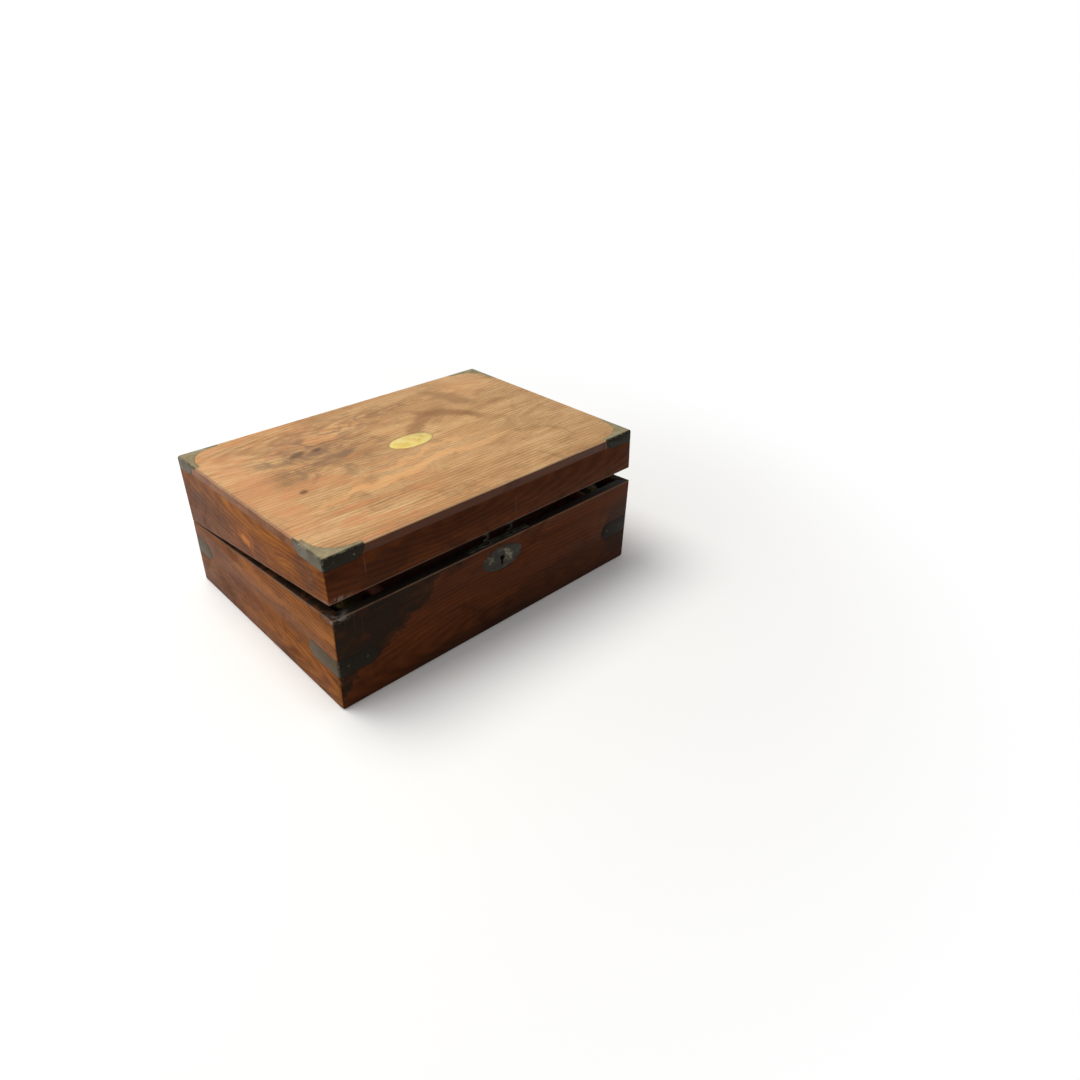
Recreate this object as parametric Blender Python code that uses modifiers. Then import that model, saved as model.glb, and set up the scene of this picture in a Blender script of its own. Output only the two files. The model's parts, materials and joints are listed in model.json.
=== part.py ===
"""Writing slope: a brass-bound walnut box for papers that opens into a sloping desk.

The box parts along a slope that falls from the lock side to the hinge side, so
that the two halves lie in one plane when the lid is folded right back.
+X runs along the box, +Y from the lock side to the hinge side, +Z up.
The origin is on the table, under the middle of the base.
All sizes are in metres, and every piece is drawn with the lid shut.
"""
import math

import bmesh
import bpy
from mathutils import Matrix, Vector

# Outside of the box, lid shut
LENGTH = 0.350
DEPTH = 0.250
HEIGHT = 0.137
RIM_FRONT = 0.095
ARRIS = 0.0016
RIM_ARRIS_SHARE = 0.35

# How the photographed box stands: the lid ajar, each flap following it
AJAR = math.radians(3.2)
FLAP_RATIO = 0.4

# Boards
WALL = 0.010
TOP_BOARD = 0.009
BOTTOM_BOARD = 0.007
DIVIDER = 0.005

# Clearances
GLUE_GAP = 0.0002
INLAY_GAP = 0.0002
PARTING_GAP = 0.0002
SEAT_GAP = 0.0003
EDGE_GAP = 0.0006
PIN_GAP = 0.0002
OVERRUN = 0.003

# Compartment for pens and ink, along the lock side
INK_WELL = 0.042
INK_FLOOR = 0.031
TRAY_HEIGHT = 0.018
TRAY_LEDGE = 0.004
TRAY_SEAT = 0.055
TROUGH_LENGTH = 0.200
TROUGH_WIDTH = 0.030
TROUGH_DEPTH = 0.012

# Ink bottles
BOTTLE_SIDE = 0.040
BOTTLE_BODY = 0.030
BOTTLE_ROUND = 0.004
SHOULDER_RADIUS = 0.017
SHOULDER = 0.004
NECK_RADIUS = 0.010
NECK = 0.006
CAP_RADIUS = 0.0125
CAP_HEIGHT = 0.013
CAP_WALL = 0.0012
CAP_DOME = 0.004

# Writing flaps
FLAP_BOARD = 0.005
FLAP_DEPTH = 0.0016
FLAP_BORDER = 0.018
FLAP_AXIS_IN = 0.022
LEATHER = 0.0008
BEARER_WIDTH = 0.006
BEARER_HEIGHT = 0.006
FINGER_RADIUS = 0.008

# Butt hinges of the lid
HINGE_WIDTH = 0.038
HINGE_REACH = 0.0085
HINGE_LEAF = 0.0012
HINGE_BARREL = 0.0025
HINGE_PIN = 0.0010
HINGE_KNUCKLES = 5
HINGE_SETBACK = 0.070
HINGE_SIDES = 16

# Butt hinges of the flaps
FLAP_HINGE_WIDTH = 0.024
FLAP_HINGE_REACH = 0.0085
FLAP_HINGE_LEAF = 0.0008
FLAP_HINGE_BARREL = 0.0014
FLAP_HINGE_PIN = 0.0006
FLAP_HINGE_KNUCKLES = 3
FLAP_HINGE_SETBACK = 0.060
FLAP_HINGE_SIDES = 12

# Lock: case, selvedge in the rim, sliding bolt
LIP = 0.003
SELVEDGE_LENGTH = 0.072
SELVEDGE = 0.0018
LOCK_LENGTH = 0.059
LOCK_BELOW_KEY = 0.0116
LOCK_BACK = 0.0012
LOCK_CASE_WALL = 0.0010
BOLT_THICK = 0.0022
BOLT_BAR = 0.0035
BOLT_TRAVEL = 0.0045
TONGUE = 0.0030
TONGUE_REACH = 0.0045
BOLT_ARM = 0.0040
TALON_WIDTH = 0.006
TALON_DEPTH = 0.0015
LOCK_PIN_RADIUS = 0.0011

# Link plate on the lid, with its two hooks
LINK_LENGTH = 0.060
LINK_PLATE = 0.0016
HOOK_SPREAD = 0.028
HOOK_WIDTH = 0.007
HOOK_THICK = 0.0026
HOOK_LENGTH = 0.011
HOOK_TIP = 0.003
NOTCH_DEPTH = 0.004
NOTCH_HEIGHT = 0.004
HOOK_SWING = 0.0009

# Keyhole and its escutcheon
KEY_BELOW_BOLT = 0.0028
KEY_RADIUS = 0.0026
KEY_SLOT = 0.0024
KEY_DROP = 0.0075
ESCUTCHEON_LENGTH = 0.047
ESCUTCHEON_HEIGHT = 0.025
ESCUTCHEON = 0.0012
ESCUTCHEON_ROUND = 0.0003

# Blank oval plate in the lid
OVAL_LENGTH = 0.049
OVAL_WIDTH = 0.028
OVAL_PLATE = 0.0012
OVAL_BACKWARD = 0.005
OVAL_POWER = 1.8

# Brass straps round the base's upright corners
STRAP = 0.0018
STRAP_LOW = 0.035
STRAP_HEIGHT = 0.018
STRAP_FRONT_REACH = 0.038
STRAP_SIDE_REACH_FRONT = 0.045
STRAP_SIDE_REACH_BACK = 0.031

# Brass caps on the lid's corners
CORNER = 0.0018
CORNER_ARM = 0.037
CORNER_END = 0.005
CORNER_POWER = 2.6
CORNER_DROP = 0.0115
CORNER_FRONT_REACH = 0.037
CORNER_SIDE_REACH_FRONT = 0.044
CORNER_SIDE_REACH_BACK = 0.030

# Worked out from the sizes above
HINGE_Z = HEIGHT / 2
SLOPE = (RIM_FRONT - HINGE_Z) / DEPTH
TILT = math.atan(SLOPE)
HALF_LENGTH = LENGTH / 2
HALF_DEPTH = DEPTH / 2
INNER_X = HALF_LENGTH - WALL
INNER_Y = HALF_DEPTH - WALL
HINGE_Y = HALF_DEPTH + SEAT_GAP
HINGE_X = HALF_LENGTH - HINGE_SETBACK
FLAP_HINGE_X = INNER_X - FLAP_HINGE_SETBACK
PARTITION_Y = -INNER_Y + INK_WELL
WELL_X = INNER_X - INK_WELL
LOCK_FRONT = -HALF_DEPTH + LIP
LOCK_INSIDE = -INNER_Y

HOOK_Y = LOCK_INSIDE - LOCK_BACK - HOOK_SWING - 2 * SEAT_GAP - HOOK_THICK / 2
HOOK_FOOT = HINGE_Z + (HALF_DEPTH - HOOK_Y) * SLOPE - HOOK_LENGTH
NOTCH_LOW = HOOK_FOOT + HOOK_TIP
BAR_HIGH = HOOK_FOOT - 2 * SEAT_GAP
BAR_LOW = BAR_HIGH - BOLT_BAR
KEY_HEIGHT = BAR_LOW - KEY_BELOW_BOLT
LOCK_FOOT = KEY_HEIGHT - LOCK_BELOW_KEY

WALNUT = (0.30, 0.13, 0.06)
DARK_WALNUT = (0.16, 0.06, 0.03)
MAHOGANY = (0.24, 0.08, 0.04)
OLD_BRASS = (0.30, 0.27, 0.16)
BRIGHT_BRASS = (0.86, 0.68, 0.30)
STEEL = (0.35, 0.33, 0.30)
GREEN_LEATHER = (0.05, 0.10, 0.06)
INK_GLASS = (0.05, 0.07, 0.09)

# How finely the shapes are drawn
QUARTER_STEPS = 8
OVAL_STEPS = 40
FLAT_ANGLE = math.radians(0.01)


def rim(y):
    """Height of the slope along which lid and base part."""
    return HINGE_Z + (HALF_DEPTH - y) * SLOPE


def below_rim(y, depth):
    """Height of the plane that lies depth under the parting slope, square to it."""
    return rim(y) - depth / math.cos(TILT)


def start_scene():
    """Empties the file and makes the two collections."""
    for thing in list(bpy.data.objects):
        bpy.data.objects.remove(thing)
    made = []
    for name in ("writing_slope", "cutters"):
        group = bpy.data.collections.new(name)
        bpy.context.scene.collection.children.link(group)
        made.append(group)
    return made


PIECES, CUTTERS = start_scene()


def coat(name, colour, roughness, metallic):
    """Principled material of one piece."""
    material = bpy.data.materials.new(name)
    material.use_nodes = True
    shader = material.node_tree.nodes["Principled BSDF"]
    shader.inputs["Base Color"].default_value = (*colour, 1)
    shader.inputs["Roughness"].default_value = roughness
    shader.inputs["Metallic"].default_value = metallic
    material.diffuse_color = (*colour, 1)
    return material


FINISHES = {
    "walnut": (WALNUT, 0.45, 0),
    "dark_walnut": (DARK_WALNUT, 0.5, 0),
    "mahogany": (MAHOGANY, 0.55, 0),
    "old_brass": (OLD_BRASS, 0.5, 1),
    "bright_brass": (BRIGHT_BRASS, 0.28, 1),
    "steel": (STEEL, 0.4, 1),
    "leather": (GREEN_LEATHER, 0.6, 0),
    "glass": (INK_GLASS, 0.1, 0),
}


def wear(piece, finish):
    """Gives a piece its own material and puts it among the pieces."""
    colour, roughness, metallic = FINISHES[finish]
    piece.data.materials.clear()
    piece.data.materials.append(coat(piece.name, colour, roughness, metallic))
    for group in piece.users_collection:
        group.objects.unlink(piece)
    PIECES.objects.link(piece)
    piece.display_type = "TEXTURED"
    piece.hide_render = False
    return piece


def tool(name, mesh):
    """Shape that cuts or builds others and isn't itself a piece."""
    shape = bpy.data.objects.new(name, mesh)
    shape.hide_render = True
    shape.display_type = "WIRE"
    CUTTERS.objects.link(shape)
    return shape


def mesh_from(bm, name):
    """Ends a bmesh as a closed mesh whose faces point out."""
    bmesh.ops.recalc_face_normals(bm, faces=bm.faces[:])
    mesh = bpy.data.meshes.new(name)
    bm.to_mesh(mesh)
    bm.free()
    return mesh


def box(name, low, high):
    """Block between two opposite corners."""
    low = Vector(low)
    high = Vector(high)
    bm = bmesh.new()
    bmesh.ops.create_cube(bm, size=1)
    spread = Matrix.Diagonal((*(high - low), 1))
    bmesh.ops.transform(bm, matrix=Matrix.Translation((low + high) / 2) @ spread, verts=bm.verts[:])
    return tool(name, mesh_from(bm, name))


def rod(name, radius, start, end, sides):
    """Round bar from one point to another."""
    start = Vector(start)
    end = Vector(end)
    bm = bmesh.new()
    length = (end - start).length
    bmesh.ops.create_cone(bm, cap_ends=True, segments=sides, radius1=radius, radius2=radius, depth=length)
    turn = Vector((0, 0, 1)).rotation_difference(end - start).to_matrix().to_4x4()
    bmesh.ops.transform(bm, matrix=Matrix.Translation((start + end) / 2) @ turn, verts=bm.verts[:])
    return tool(name, mesh_from(bm, name))


ACROSS = {
    "X": Matrix(((0, 0, 1), (1, 0, 0), (0, 1, 0))).to_4x4(),
    "Y": Matrix(((1, 0, 0), (0, 0, -1), (0, 1, 0))).to_4x4(),
    "Z": Matrix.Identity(4),
}
ALONG = {"X": Vector((1, 0, 0)), "Y": Vector((0, 1, 0)), "Z": Vector((0, 0, 1))}


def prism(name, outline, axis, start, end):
    """Flat outline across an axis, carried along it from start to end."""
    curve = bpy.data.curves.new(name, "CURVE")
    curve.dimensions = "2D"
    curve.fill_mode = "BOTH"
    curve.extrude = abs(end - start) / 2
    spline = curve.splines.new("POLY")
    spline.points.add(len(outline) - 1)
    for point, (across, up) in zip(spline.points, outline):
        point.co = (across, up, 0, 1)
    spline.use_cyclic_u = True
    flat = bpy.data.objects.new(name, curve)
    CUTTERS.objects.link(flat)
    flat.matrix_world = Matrix.Translation(ALONG[axis] * (start + end) / 2) @ ACROSS[axis]
    solid = settled(flat)
    bpy.data.objects.remove(flat)
    bpy.data.curves.remove(curve)
    return solid


def settled(shape):
    """Plain mesh of a shape as its modifiers or its curve leave it."""
    name = shape.name
    shape.name = name + "_drawn"
    bpy.context.view_layer.update()
    graph = bpy.context.evaluated_depsgraph_get()
    mesh = bpy.data.meshes.new_from_object(shape.evaluated_get(graph))
    mesh.transform(shape.matrix_world)
    bm = bmesh.new()
    bm.from_mesh(mesh)
    bmesh.ops.remove_doubles(bm, verts=bm.verts[:], dist=PIN_GAP / 100)
    bmesh.ops.dissolve_limit(bm, angle_limit=FLAT_ANGLE, verts=bm.verts[:], edges=bm.edges[:])
    bpy.data.meshes.remove(mesh)
    return tool(name, mesh_from(bm, name))


def combine(shape, other, how):
    """Boolean of one shape with another, which then goes where the first goes."""
    modifier = shape.modifiers.new(how.lower(), "BOOLEAN")
    modifier.operation = how
    modifier.object = other
    # The thin facets of the boards' rounded arrises need the manifold solver
    modifier.solver = "MANIFOLD" if shape.name.endswith("_board") else "EXACT"
    if other.parent is None:
        other.parent = shape
    return shape


def cut(shape, *others):
    for other in others:
        combine(shape, other, "DIFFERENCE")
    return shape


def join(shape, *others):
    for other in others:
        combine(shape, other, "UNION")
    return shape


def keep_inside(shape, other):
    return combine(shape, other, "INTERSECT")


def round_edges(shape, width, segments, by_weight=False):
    """Rounded edges, all sharp ones or those with a weight."""
    modifier = shape.modifiers.new("rounding", "BEVEL")
    modifier.width = width
    modifier.segments = segments
    modifier.limit_method = "WEIGHT" if by_weight else "ANGLE"
    return shape


def oval(centre, half_width, half_height, power, grow):
    """Closed oval, a little pointed where power is under 2."""
    points = []
    for step in range(OVAL_STEPS):
        turn = 2 * math.pi * step / OVAL_STEPS
        side = math.copysign(abs(math.cos(turn)) ** (2 / power), math.cos(turn))
        rise = math.copysign(abs(math.sin(turn)) ** (2 / power), math.sin(turn))
        points.append((centre[0] + (half_width + grow) * side, centre[1] + (half_height + grow) * rise))
    return points


def keyhole(grow):
    """Round head over a straight slot, in x and z."""
    radius = KEY_RADIUS + grow
    half_slot = KEY_SLOT / 2 + grow
    opening = math.asin(half_slot / radius)
    points = [(-half_slot, KEY_HEIGHT - KEY_DROP - grow), (half_slot, KEY_HEIGHT - KEY_DROP - grow)]
    steps = 2 * QUARTER_STEPS
    for step in range(steps + 1):
        turn = -math.pi / 2 + opening + (2 * math.pi - 2 * opening) * step / steps
        points.append((radius * math.cos(turn), KEY_HEIGHT + radius * math.sin(turn)))
    return points


def rounded_end(reach, low, high, round_high, start):
    """Strip from past the corner to its reach, its lower far corner rounded and the upper one if asked."""
    radius = (high - low) / 2 if round_high else CORNER_DROP
    points = [(start, low)]
    centre = reach - radius
    for step in range(QUARTER_STEPS + 1):
        turn = math.pi / 2 * step / QUARTER_STEPS
        points.append((centre + radius * math.sin(turn), low + radius - radius * math.cos(turn)))
    if round_high:
        for step in range(QUARTER_STEPS + 1):
            turn = math.pi / 2 * step / QUARTER_STEPS
            points.append((centre + radius * math.cos(turn), high - radius + radius * math.sin(turn)))
    else:
        points.append((reach, high))
    points.append((start, high))
    return points


def hollow_corner(grow):
    """Plate in the angle of the lid's top, its inner edge curved in towards the corner."""
    arm = CORNER_ARM + grow
    radius = CORNER_ARM - CORNER_END
    away = 3 * OVERRUN
    points = [(-away, -away), (arm, -away)]
    steps = 2 * QUARTER_STEPS
    for step in range(steps + 1):
        turn = math.pi / 2 * step / steps
        along = math.sin(turn) ** (2 / CORNER_POWER)
        across = math.cos(turn) ** (2 / CORNER_POWER)
        points.append((arm - radius * along, arm - radius * across))
    points.append((-away, arm))
    return points


def corner_place(side_x, side_y, outline, plane):
    """Moves an outline measured from a corner to its place on one face of the box."""
    placed = []
    for along, other in outline:
        if plane == "top":
            placed.append((side_x * (HALF_LENGTH - along), side_y * (HALF_DEPTH - other)))
        elif plane == "end":
            placed.append((side_y * (HALF_DEPTH - along), other))
        else:
            placed.append((side_x * (HALF_LENGTH - along), other))
    return placed


def corner_plates(name, side_x, side_y, front, end, thickness, top=None):
    """Plates that wrap one corner: on the long face, on the end and, where given, on top."""
    plates = [
        prism(
            name, corner_place(side_x, side_y, front, "front"), "Y",
            side_y * (HALF_DEPTH - thickness), side_y * (HALF_DEPTH + OVERRUN)),
        prism(
            name + "_end", corner_place(side_x, side_y, end, "end"), "X",
            side_x * (HALF_LENGTH - thickness), side_x * (HALF_LENGTH + 2 * OVERRUN))]
    if top:
        plates.append(prism(
            name + "_top", corner_place(side_x, side_y, top, "top"), "Z",
            HEIGHT - thickness, HEIGHT + 2 * OVERRUN))
    return plates


def strap_plates(name, side_x, side_y, grow):
    """Front and end of one of the base's straps, or of its recess."""
    low = STRAP_LOW - grow
    high = STRAP_LOW + STRAP_HEIGHT + grow
    side_reach = STRAP_SIDE_REACH_FRONT if side_y < 0 else STRAP_SIDE_REACH_BACK
    return corner_plates(
        name, side_x, side_y,
        rounded_end(STRAP_FRONT_REACH + grow, low, high, True, -OVERRUN),
        rounded_end(side_reach + grow, low, high, True, -2 * OVERRUN),
        STRAP + grow)


def cap_plates(name, side_x, side_y, grow):
    """Front, end and top of one of the lid's corner caps, or of its recess."""
    low = HEIGHT - CORNER_DROP - grow
    side_reach = CORNER_SIDE_REACH_FRONT if side_y < 0 else CORNER_SIDE_REACH_BACK
    return corner_plates(
        name, side_x, side_y,
        rounded_end(CORNER_FRONT_REACH + grow, low, HEIGHT + OVERRUN, False, -OVERRUN),
        rounded_end(side_reach + grow, low, HEIGHT + OVERRUN, False, -2 * OVERRUN),
        CORNER + grow, hollow_corner(grow))


def wrapped(plates, block):
    """One piece of brass from its plates, flush with the block it is let into."""
    skin = settled(join(plates[0], *plates[1:]))
    return keep_inside(skin, block)


CORNERS = (("front_left", -1, -1), ("front_right", 1, -1), ("back_left", -1, 1), ("back_right", 1, 1))


def carcase_block(name, profile):
    """One half of the box as a solid block, its outer edges rounded and its rim nearly sharp."""
    block = prism(name, profile, "X", -HALF_LENGTH, HALF_LENGTH)
    mesh = block.data
    weights = mesh.attributes.new("bevel_weight_edge", "FLOAT", "EDGE")
    for edge in mesh.edges:
        ends = [mesh.vertices[index].co for index in edge.vertices]
        at_rim = all(abs(end.z - rim(end.y)) < 2 * PARTING_GAP for end in ends)
        weights.data[edge.index].value = RIM_ARRIS_SHARE if at_rim else 1
    round_edges(block, ARRIS, 3, by_weight=True)
    return settled(block)


def mitre(name, face, low, high):
    """Wedge that takes one mitred wall out of a carcase block."""
    away = OVERRUN
    shy = GLUE_GAP / math.sqrt(2)
    if face in ("front", "back"):
        side = -1 if face == "front" else 1
        outline = [
            (-HALF_LENGTH - away + shy, side * (HALF_DEPTH + away)),
            (HALF_LENGTH + away - shy, side * (HALF_DEPTH + away)),
            (INNER_X - shy, side * INNER_Y),
            (-INNER_X + shy, side * INNER_Y),
        ]
    else:
        side = -1 if face == "left" else 1
        outline = [
            (side * (HALF_LENGTH + away), -HALF_DEPTH - away + shy),
            (side * (HALF_LENGTH + away), HALF_DEPTH + away - shy),
            (side * INNER_X, INNER_Y - shy),
            (side * INNER_X, -INNER_Y + shy),
        ]
    return prism(name, outline, "Z", low, high)


def walls(prefix, block, low, high):
    """Four mitred walls of one half of the box."""
    made = {}
    for face in ("front", "back", "left", "right"):
        name = prefix + "_" + face + "_board"
        board = tool(name, block.data)
        keep_inside(board, mitre(name + "_mitre", face, low, high))
        made[face] = wear(board, "walnut")
    return made


def hinge_rooms(name, width, reach, barrel, leaf, centre, turn):
    """Room for a hinge let into two boards: one for both leaves, one for the barrel."""
    half = width / 2 + SEAT_GAP
    rooms = [
        box(name, (-half, -reach - SEAT_GAP, -leaf - SEAT_GAP), (half, reach + SEAT_GAP, leaf + SEAT_GAP)),
        rod(name + "_barrel", barrel + SEAT_GAP, (-half - SEAT_GAP, 0, 0), (half + SEAT_GAP, 0, 0),
            HINGE_SIDES)]
    for room in rooms:
        room.location = centre
        room.rotation_euler.x = turn
    return rooms


def hinge_leaf(name, size, knuckle_set, side_y, low, high, bored):
    """Hinge leaf with its share of the knuckles; size names the hinge's own measures."""
    width, reach, barrel, pin, knuckles, sides = size
    pitch = width / knuckles
    clear = barrel + SEAT_GAP
    plate_y = sorted((side_y * clear, side_y * reach))
    leaf = box(name, (-width / 2, plate_y[0], low), (width / 2, plate_y[1], high))
    for index in range(knuckles):
        if index % 2 != knuckle_set:
            continue
        start = -width / 2 + index * pitch + (SEAT_GAP / 2 if index else 0)
        end = -width / 2 + (index + 1) * pitch - (SEAT_GAP / 2 if index < knuckles - 1 else 0)
        tongue_y = sorted((0, side_y * (clear + SEAT_GAP)))
        join(
            leaf,
            box(name + "_tongue", (start + PIN_GAP, tongue_y[0], low), (end - PIN_GAP, tongue_y[1], high)),
            rod(name + "_knuckle", barrel, (start, 0, 0), (end, 0, 0), sides))
    ends = width / 2 + OVERRUN
    if bored:
        cut(leaf, rod(name + "_bore", pin + PIN_GAP, (-ends, 0, 0), (ends, 0, 0), sides))
    else:
        half = width / 2 - PIN_GAP
        join(leaf, rod(name + "_pin", pin, (-half, 0, 0), (half, 0, 0), sides))
    return settled(leaf)


def place(piece, mesh_name, location, turn):
    """Sets a piece at its place, tilted with the slope."""
    piece.name = mesh_name
    piece.location = location
    piece.rotation_euler.x = turn
    return piece


def copy_of(piece, name):
    return tool(name, piece.data)


def pivot(name, location, turn):
    """Empty on a joint's axis."""
    holder = bpy.data.objects.new(name, None)
    holder.location = location
    holder.rotation_euler.x = turn
    holder.empty_display_size = HINGE_WIDTH / 2
    PIECES.objects.link(holder)
    return holder


MAIN_HINGE = (HINGE_WIDTH, HINGE_REACH, HINGE_BARREL, HINGE_PIN, HINGE_KNUCKLES, HINGE_SIDES)
FLAP_HINGE = (
    FLAP_HINGE_WIDTH, FLAP_HINGE_REACH, FLAP_HINGE_BARREL, FLAP_HINGE_PIN, FLAP_HINGE_KNUCKLES,
    FLAP_HINGE_SIDES)
MAIN_AXIS = Vector((0, HINGE_Y, HINGE_Z))
FLAP_AXIS_Y = HINGE_Y - FLAP_AXIS_IN * math.cos(TILT)
BASE_FLAP_AXIS = Vector((0, FLAP_AXIS_Y, below_rim(FLAP_AXIS_Y, FLAP_DEPTH)))
LID_FLAP_AXIS = Vector((0, FLAP_AXIS_Y, below_rim(FLAP_AXIS_Y, -FLAP_DEPTH)))


def make_base():
    """Carcase of the base: walls with their recesses, and the bottom."""
    rim_gap = PARTING_GAP / math.cos(TILT)
    block = carcase_block("base_block", [
        (-HALF_DEPTH, 0), (HALF_DEPTH, 0), (HALF_DEPTH, HINGE_Z - rim_gap),
        (-HALF_DEPTH, RIM_FRONT - rim_gap)])
    boards = walls("base", block, -OVERRUN, RIM_FRONT + OVERRUN)
    for side, name in ((-1, "left"), (1, "right")):
        centre = (side * HINGE_X, HINGE_Y, HINGE_Z)
        cut(boards["back"], *hinge_rooms(
            "base_hinge_room_" + name, HINGE_WIDTH, HINGE_REACH, HINGE_BARREL,
            HINGE_LEAF + PARTING_GAP, centre, -TILT))
    for name, side_x, side_y in CORNERS:
        wear(wrapped(strap_plates("base_strap_" + name, side_x, side_y, 0), block), "old_brass")
        recess = strap_plates("strap_recess_" + name, side_x, side_y, INLAY_GAP)
        cut(boards["front" if side_y < 0 else "back"], *recess)
        cut(boards["left" if side_x < 0 else "right"], *recess)
    cut(
        boards["front"],
        box("lock_room", (-LOCK_LENGTH / 2 - SEAT_GAP, LOCK_FRONT, LOCK_FOOT - SEAT_GAP),
            (LOCK_LENGTH / 2 + SEAT_GAP, LOCK_INSIDE + OVERRUN, RIM_FRONT + OVERRUN)),
        prism("selvedge_room", selvedge_profile(INLAY_GAP, RIM_FRONT + OVERRUN), "X",
              -SELVEDGE_LENGTH / 2 - INLAY_GAP, SELVEDGE_LENGTH / 2 + INLAY_GAP),
        prism("escutcheon_room", escutcheon_outline(INLAY_GAP), "Y",
              -HALF_DEPTH - OVERRUN, -HALF_DEPTH + ESCUTCHEON + INLAY_GAP),
        prism("keyhole_in_wood", keyhole(INLAY_GAP), "Y", -HALF_DEPTH - OVERRUN, LOCK_FRONT + OVERRUN))
    bottom = box(
        "base_bottom_board", (-INNER_X + SEAT_GAP, -INNER_Y + SEAT_GAP, 0),
        (INNER_X - SEAT_GAP, INNER_Y - SEAT_GAP, BOTTOM_BOARD))
    wear(bottom, "mahogany")


def escutcheon_outline(grow):
    return oval((0, KEY_HEIGHT), ESCUTCHEON_LENGTH / 2, ESCUTCHEON_HEIGHT / 2, 2, grow)


def make_escutcheon():
    plate = prism(
        "escutcheon", escutcheon_outline(0), "Y", -HALF_DEPTH, -HALF_DEPTH + ESCUTCHEON)
    round_edges(plate, ESCUTCHEON_ROUND, 2)
    cut(plate, prism("keyhole_in_plate", keyhole(0), "Y", -HALF_DEPTH - OVERRUN, -INNER_Y))
    wear(plate, "old_brass")


def selvedge_profile(grow, top=None):
    """Section of the lock's top plate, which lies along the slope of the rim."""
    front = LOCK_FRONT + SEAT_GAP - grow
    inside = LOCK_INSIDE + (OVERRUN if top else 0)
    under = PARTING_GAP + SELVEDGE + grow
    high_front = top or below_rim(front, PARTING_GAP)
    high_inside = top or below_rim(inside, PARTING_GAP)
    return [
        (front, below_rim(front, under)), (inside, below_rim(inside, under)),
        (inside, high_inside), (front, high_front)]


def make_lock():
    """Box lock: plate with the selvedge, case and bolt."""
    plate_back = LOCK_INSIDE - LOCK_BACK
    plate = prism("lock_plate", selvedge_profile(0), "X", -SELVEDGE_LENGTH / 2, SELVEDGE_LENGTH / 2)
    half_lock = LOCK_LENGTH / 2
    join(
        plate,
        box("lock_back", (-half_lock, plate_back, LOCK_FOOT),
            (half_lock, LOCK_INSIDE, below_rim(LOCK_INSIDE, PARTING_GAP + SELVEDGE / 2))),
        rod("lock_drill_pin", LOCK_PIN_RADIUS, (0, plate_back + LOCK_BACK / 2, KEY_HEIGHT),
            (0, LOCK_FRONT + LOCK_CASE_WALL, KEY_HEIGHT), HINGE_SIDES))
    for side in (-1, 1):
        centre = side * HOOK_SPREAD / 2
        cut(plate, box(
            "selvedge_slot", (centre - HOOK_WIDTH / 2 - 2 * SEAT_GAP, HOOK_Y - HOOK_THICK / 2 - SEAT_GAP,
                              LOCK_FOOT),
            (centre + HOOK_WIDTH / 2 + 2 * SEAT_GAP, plate_back - SEAT_GAP, RIM_FRONT + OVERRUN)))
    wear(plate, "old_brass")

    case_top = below_rim(plate_back, PARTING_GAP + SELVEDGE) - SEAT_GAP
    case_front = LOCK_FRONT + SEAT_GAP
    case = box(
        "lock_case", (-half_lock, case_front, LOCK_FOOT), (half_lock, plate_back - SEAT_GAP, case_top))
    cut(
        case,
        box("case_room", (-half_lock + LOCK_CASE_WALL, case_front + LOCK_CASE_WALL,
                          LOCK_FOOT + LOCK_CASE_WALL),
            (half_lock - LOCK_CASE_WALL, plate_back + OVERRUN, case_top + OVERRUN)),
        prism("keyhole_in_case", keyhole(INLAY_GAP), "Y", LOCK_FRONT - OVERRUN, HOOK_Y))
    wear(case, "old_brass")


def make_bolt():
    """Sliding bolt: a bar against the back plate, and two arms whose tongues take the hooks."""
    plate_back = LOCK_INSIDE - LOCK_BACK
    thick_low = HOOK_Y - BOLT_THICK / 2
    thick_high = HOOK_Y + BOLT_THICK / 2
    spare = (NOTCH_HEIGHT - TONGUE) / 2
    tongue_low = NOTCH_LOW + spare
    tongue_high = tongue_low + TONGUE
    tips = [side * HOOK_SPREAD / 2 - HOOK_WIDTH / 2 - 3 * SEAT_GAP for side in (-1, 1)]
    bar = box(
        "lock_bolt", (tips[0] - TONGUE_REACH - BOLT_ARM, thick_low, BAR_LOW),
        (HOOK_SPREAD / 2, plate_back - SEAT_GAP, BAR_HIGH))
    for tip in tips:
        join(
            bar,
            box("bolt_arm", (tip - TONGUE_REACH - BOLT_ARM, thick_low, BAR_LOW),
                (tip - TONGUE_REACH, thick_high, tongue_high)),
            box("bolt_tongue", (tip - TONGUE_REACH - BOLT_ARM / 2, thick_low, tongue_low),
                (tip, thick_high, tongue_high)))
    cut(bar, box(
        "bolt_talon", (-TALON_WIDTH / 2, thick_low - OVERRUN, BAR_LOW - OVERRUN),
        (TALON_WIDTH / 2, plate_back + OVERRUN, BAR_LOW + TALON_DEPTH)))
    wear(bar, "steel")


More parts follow.
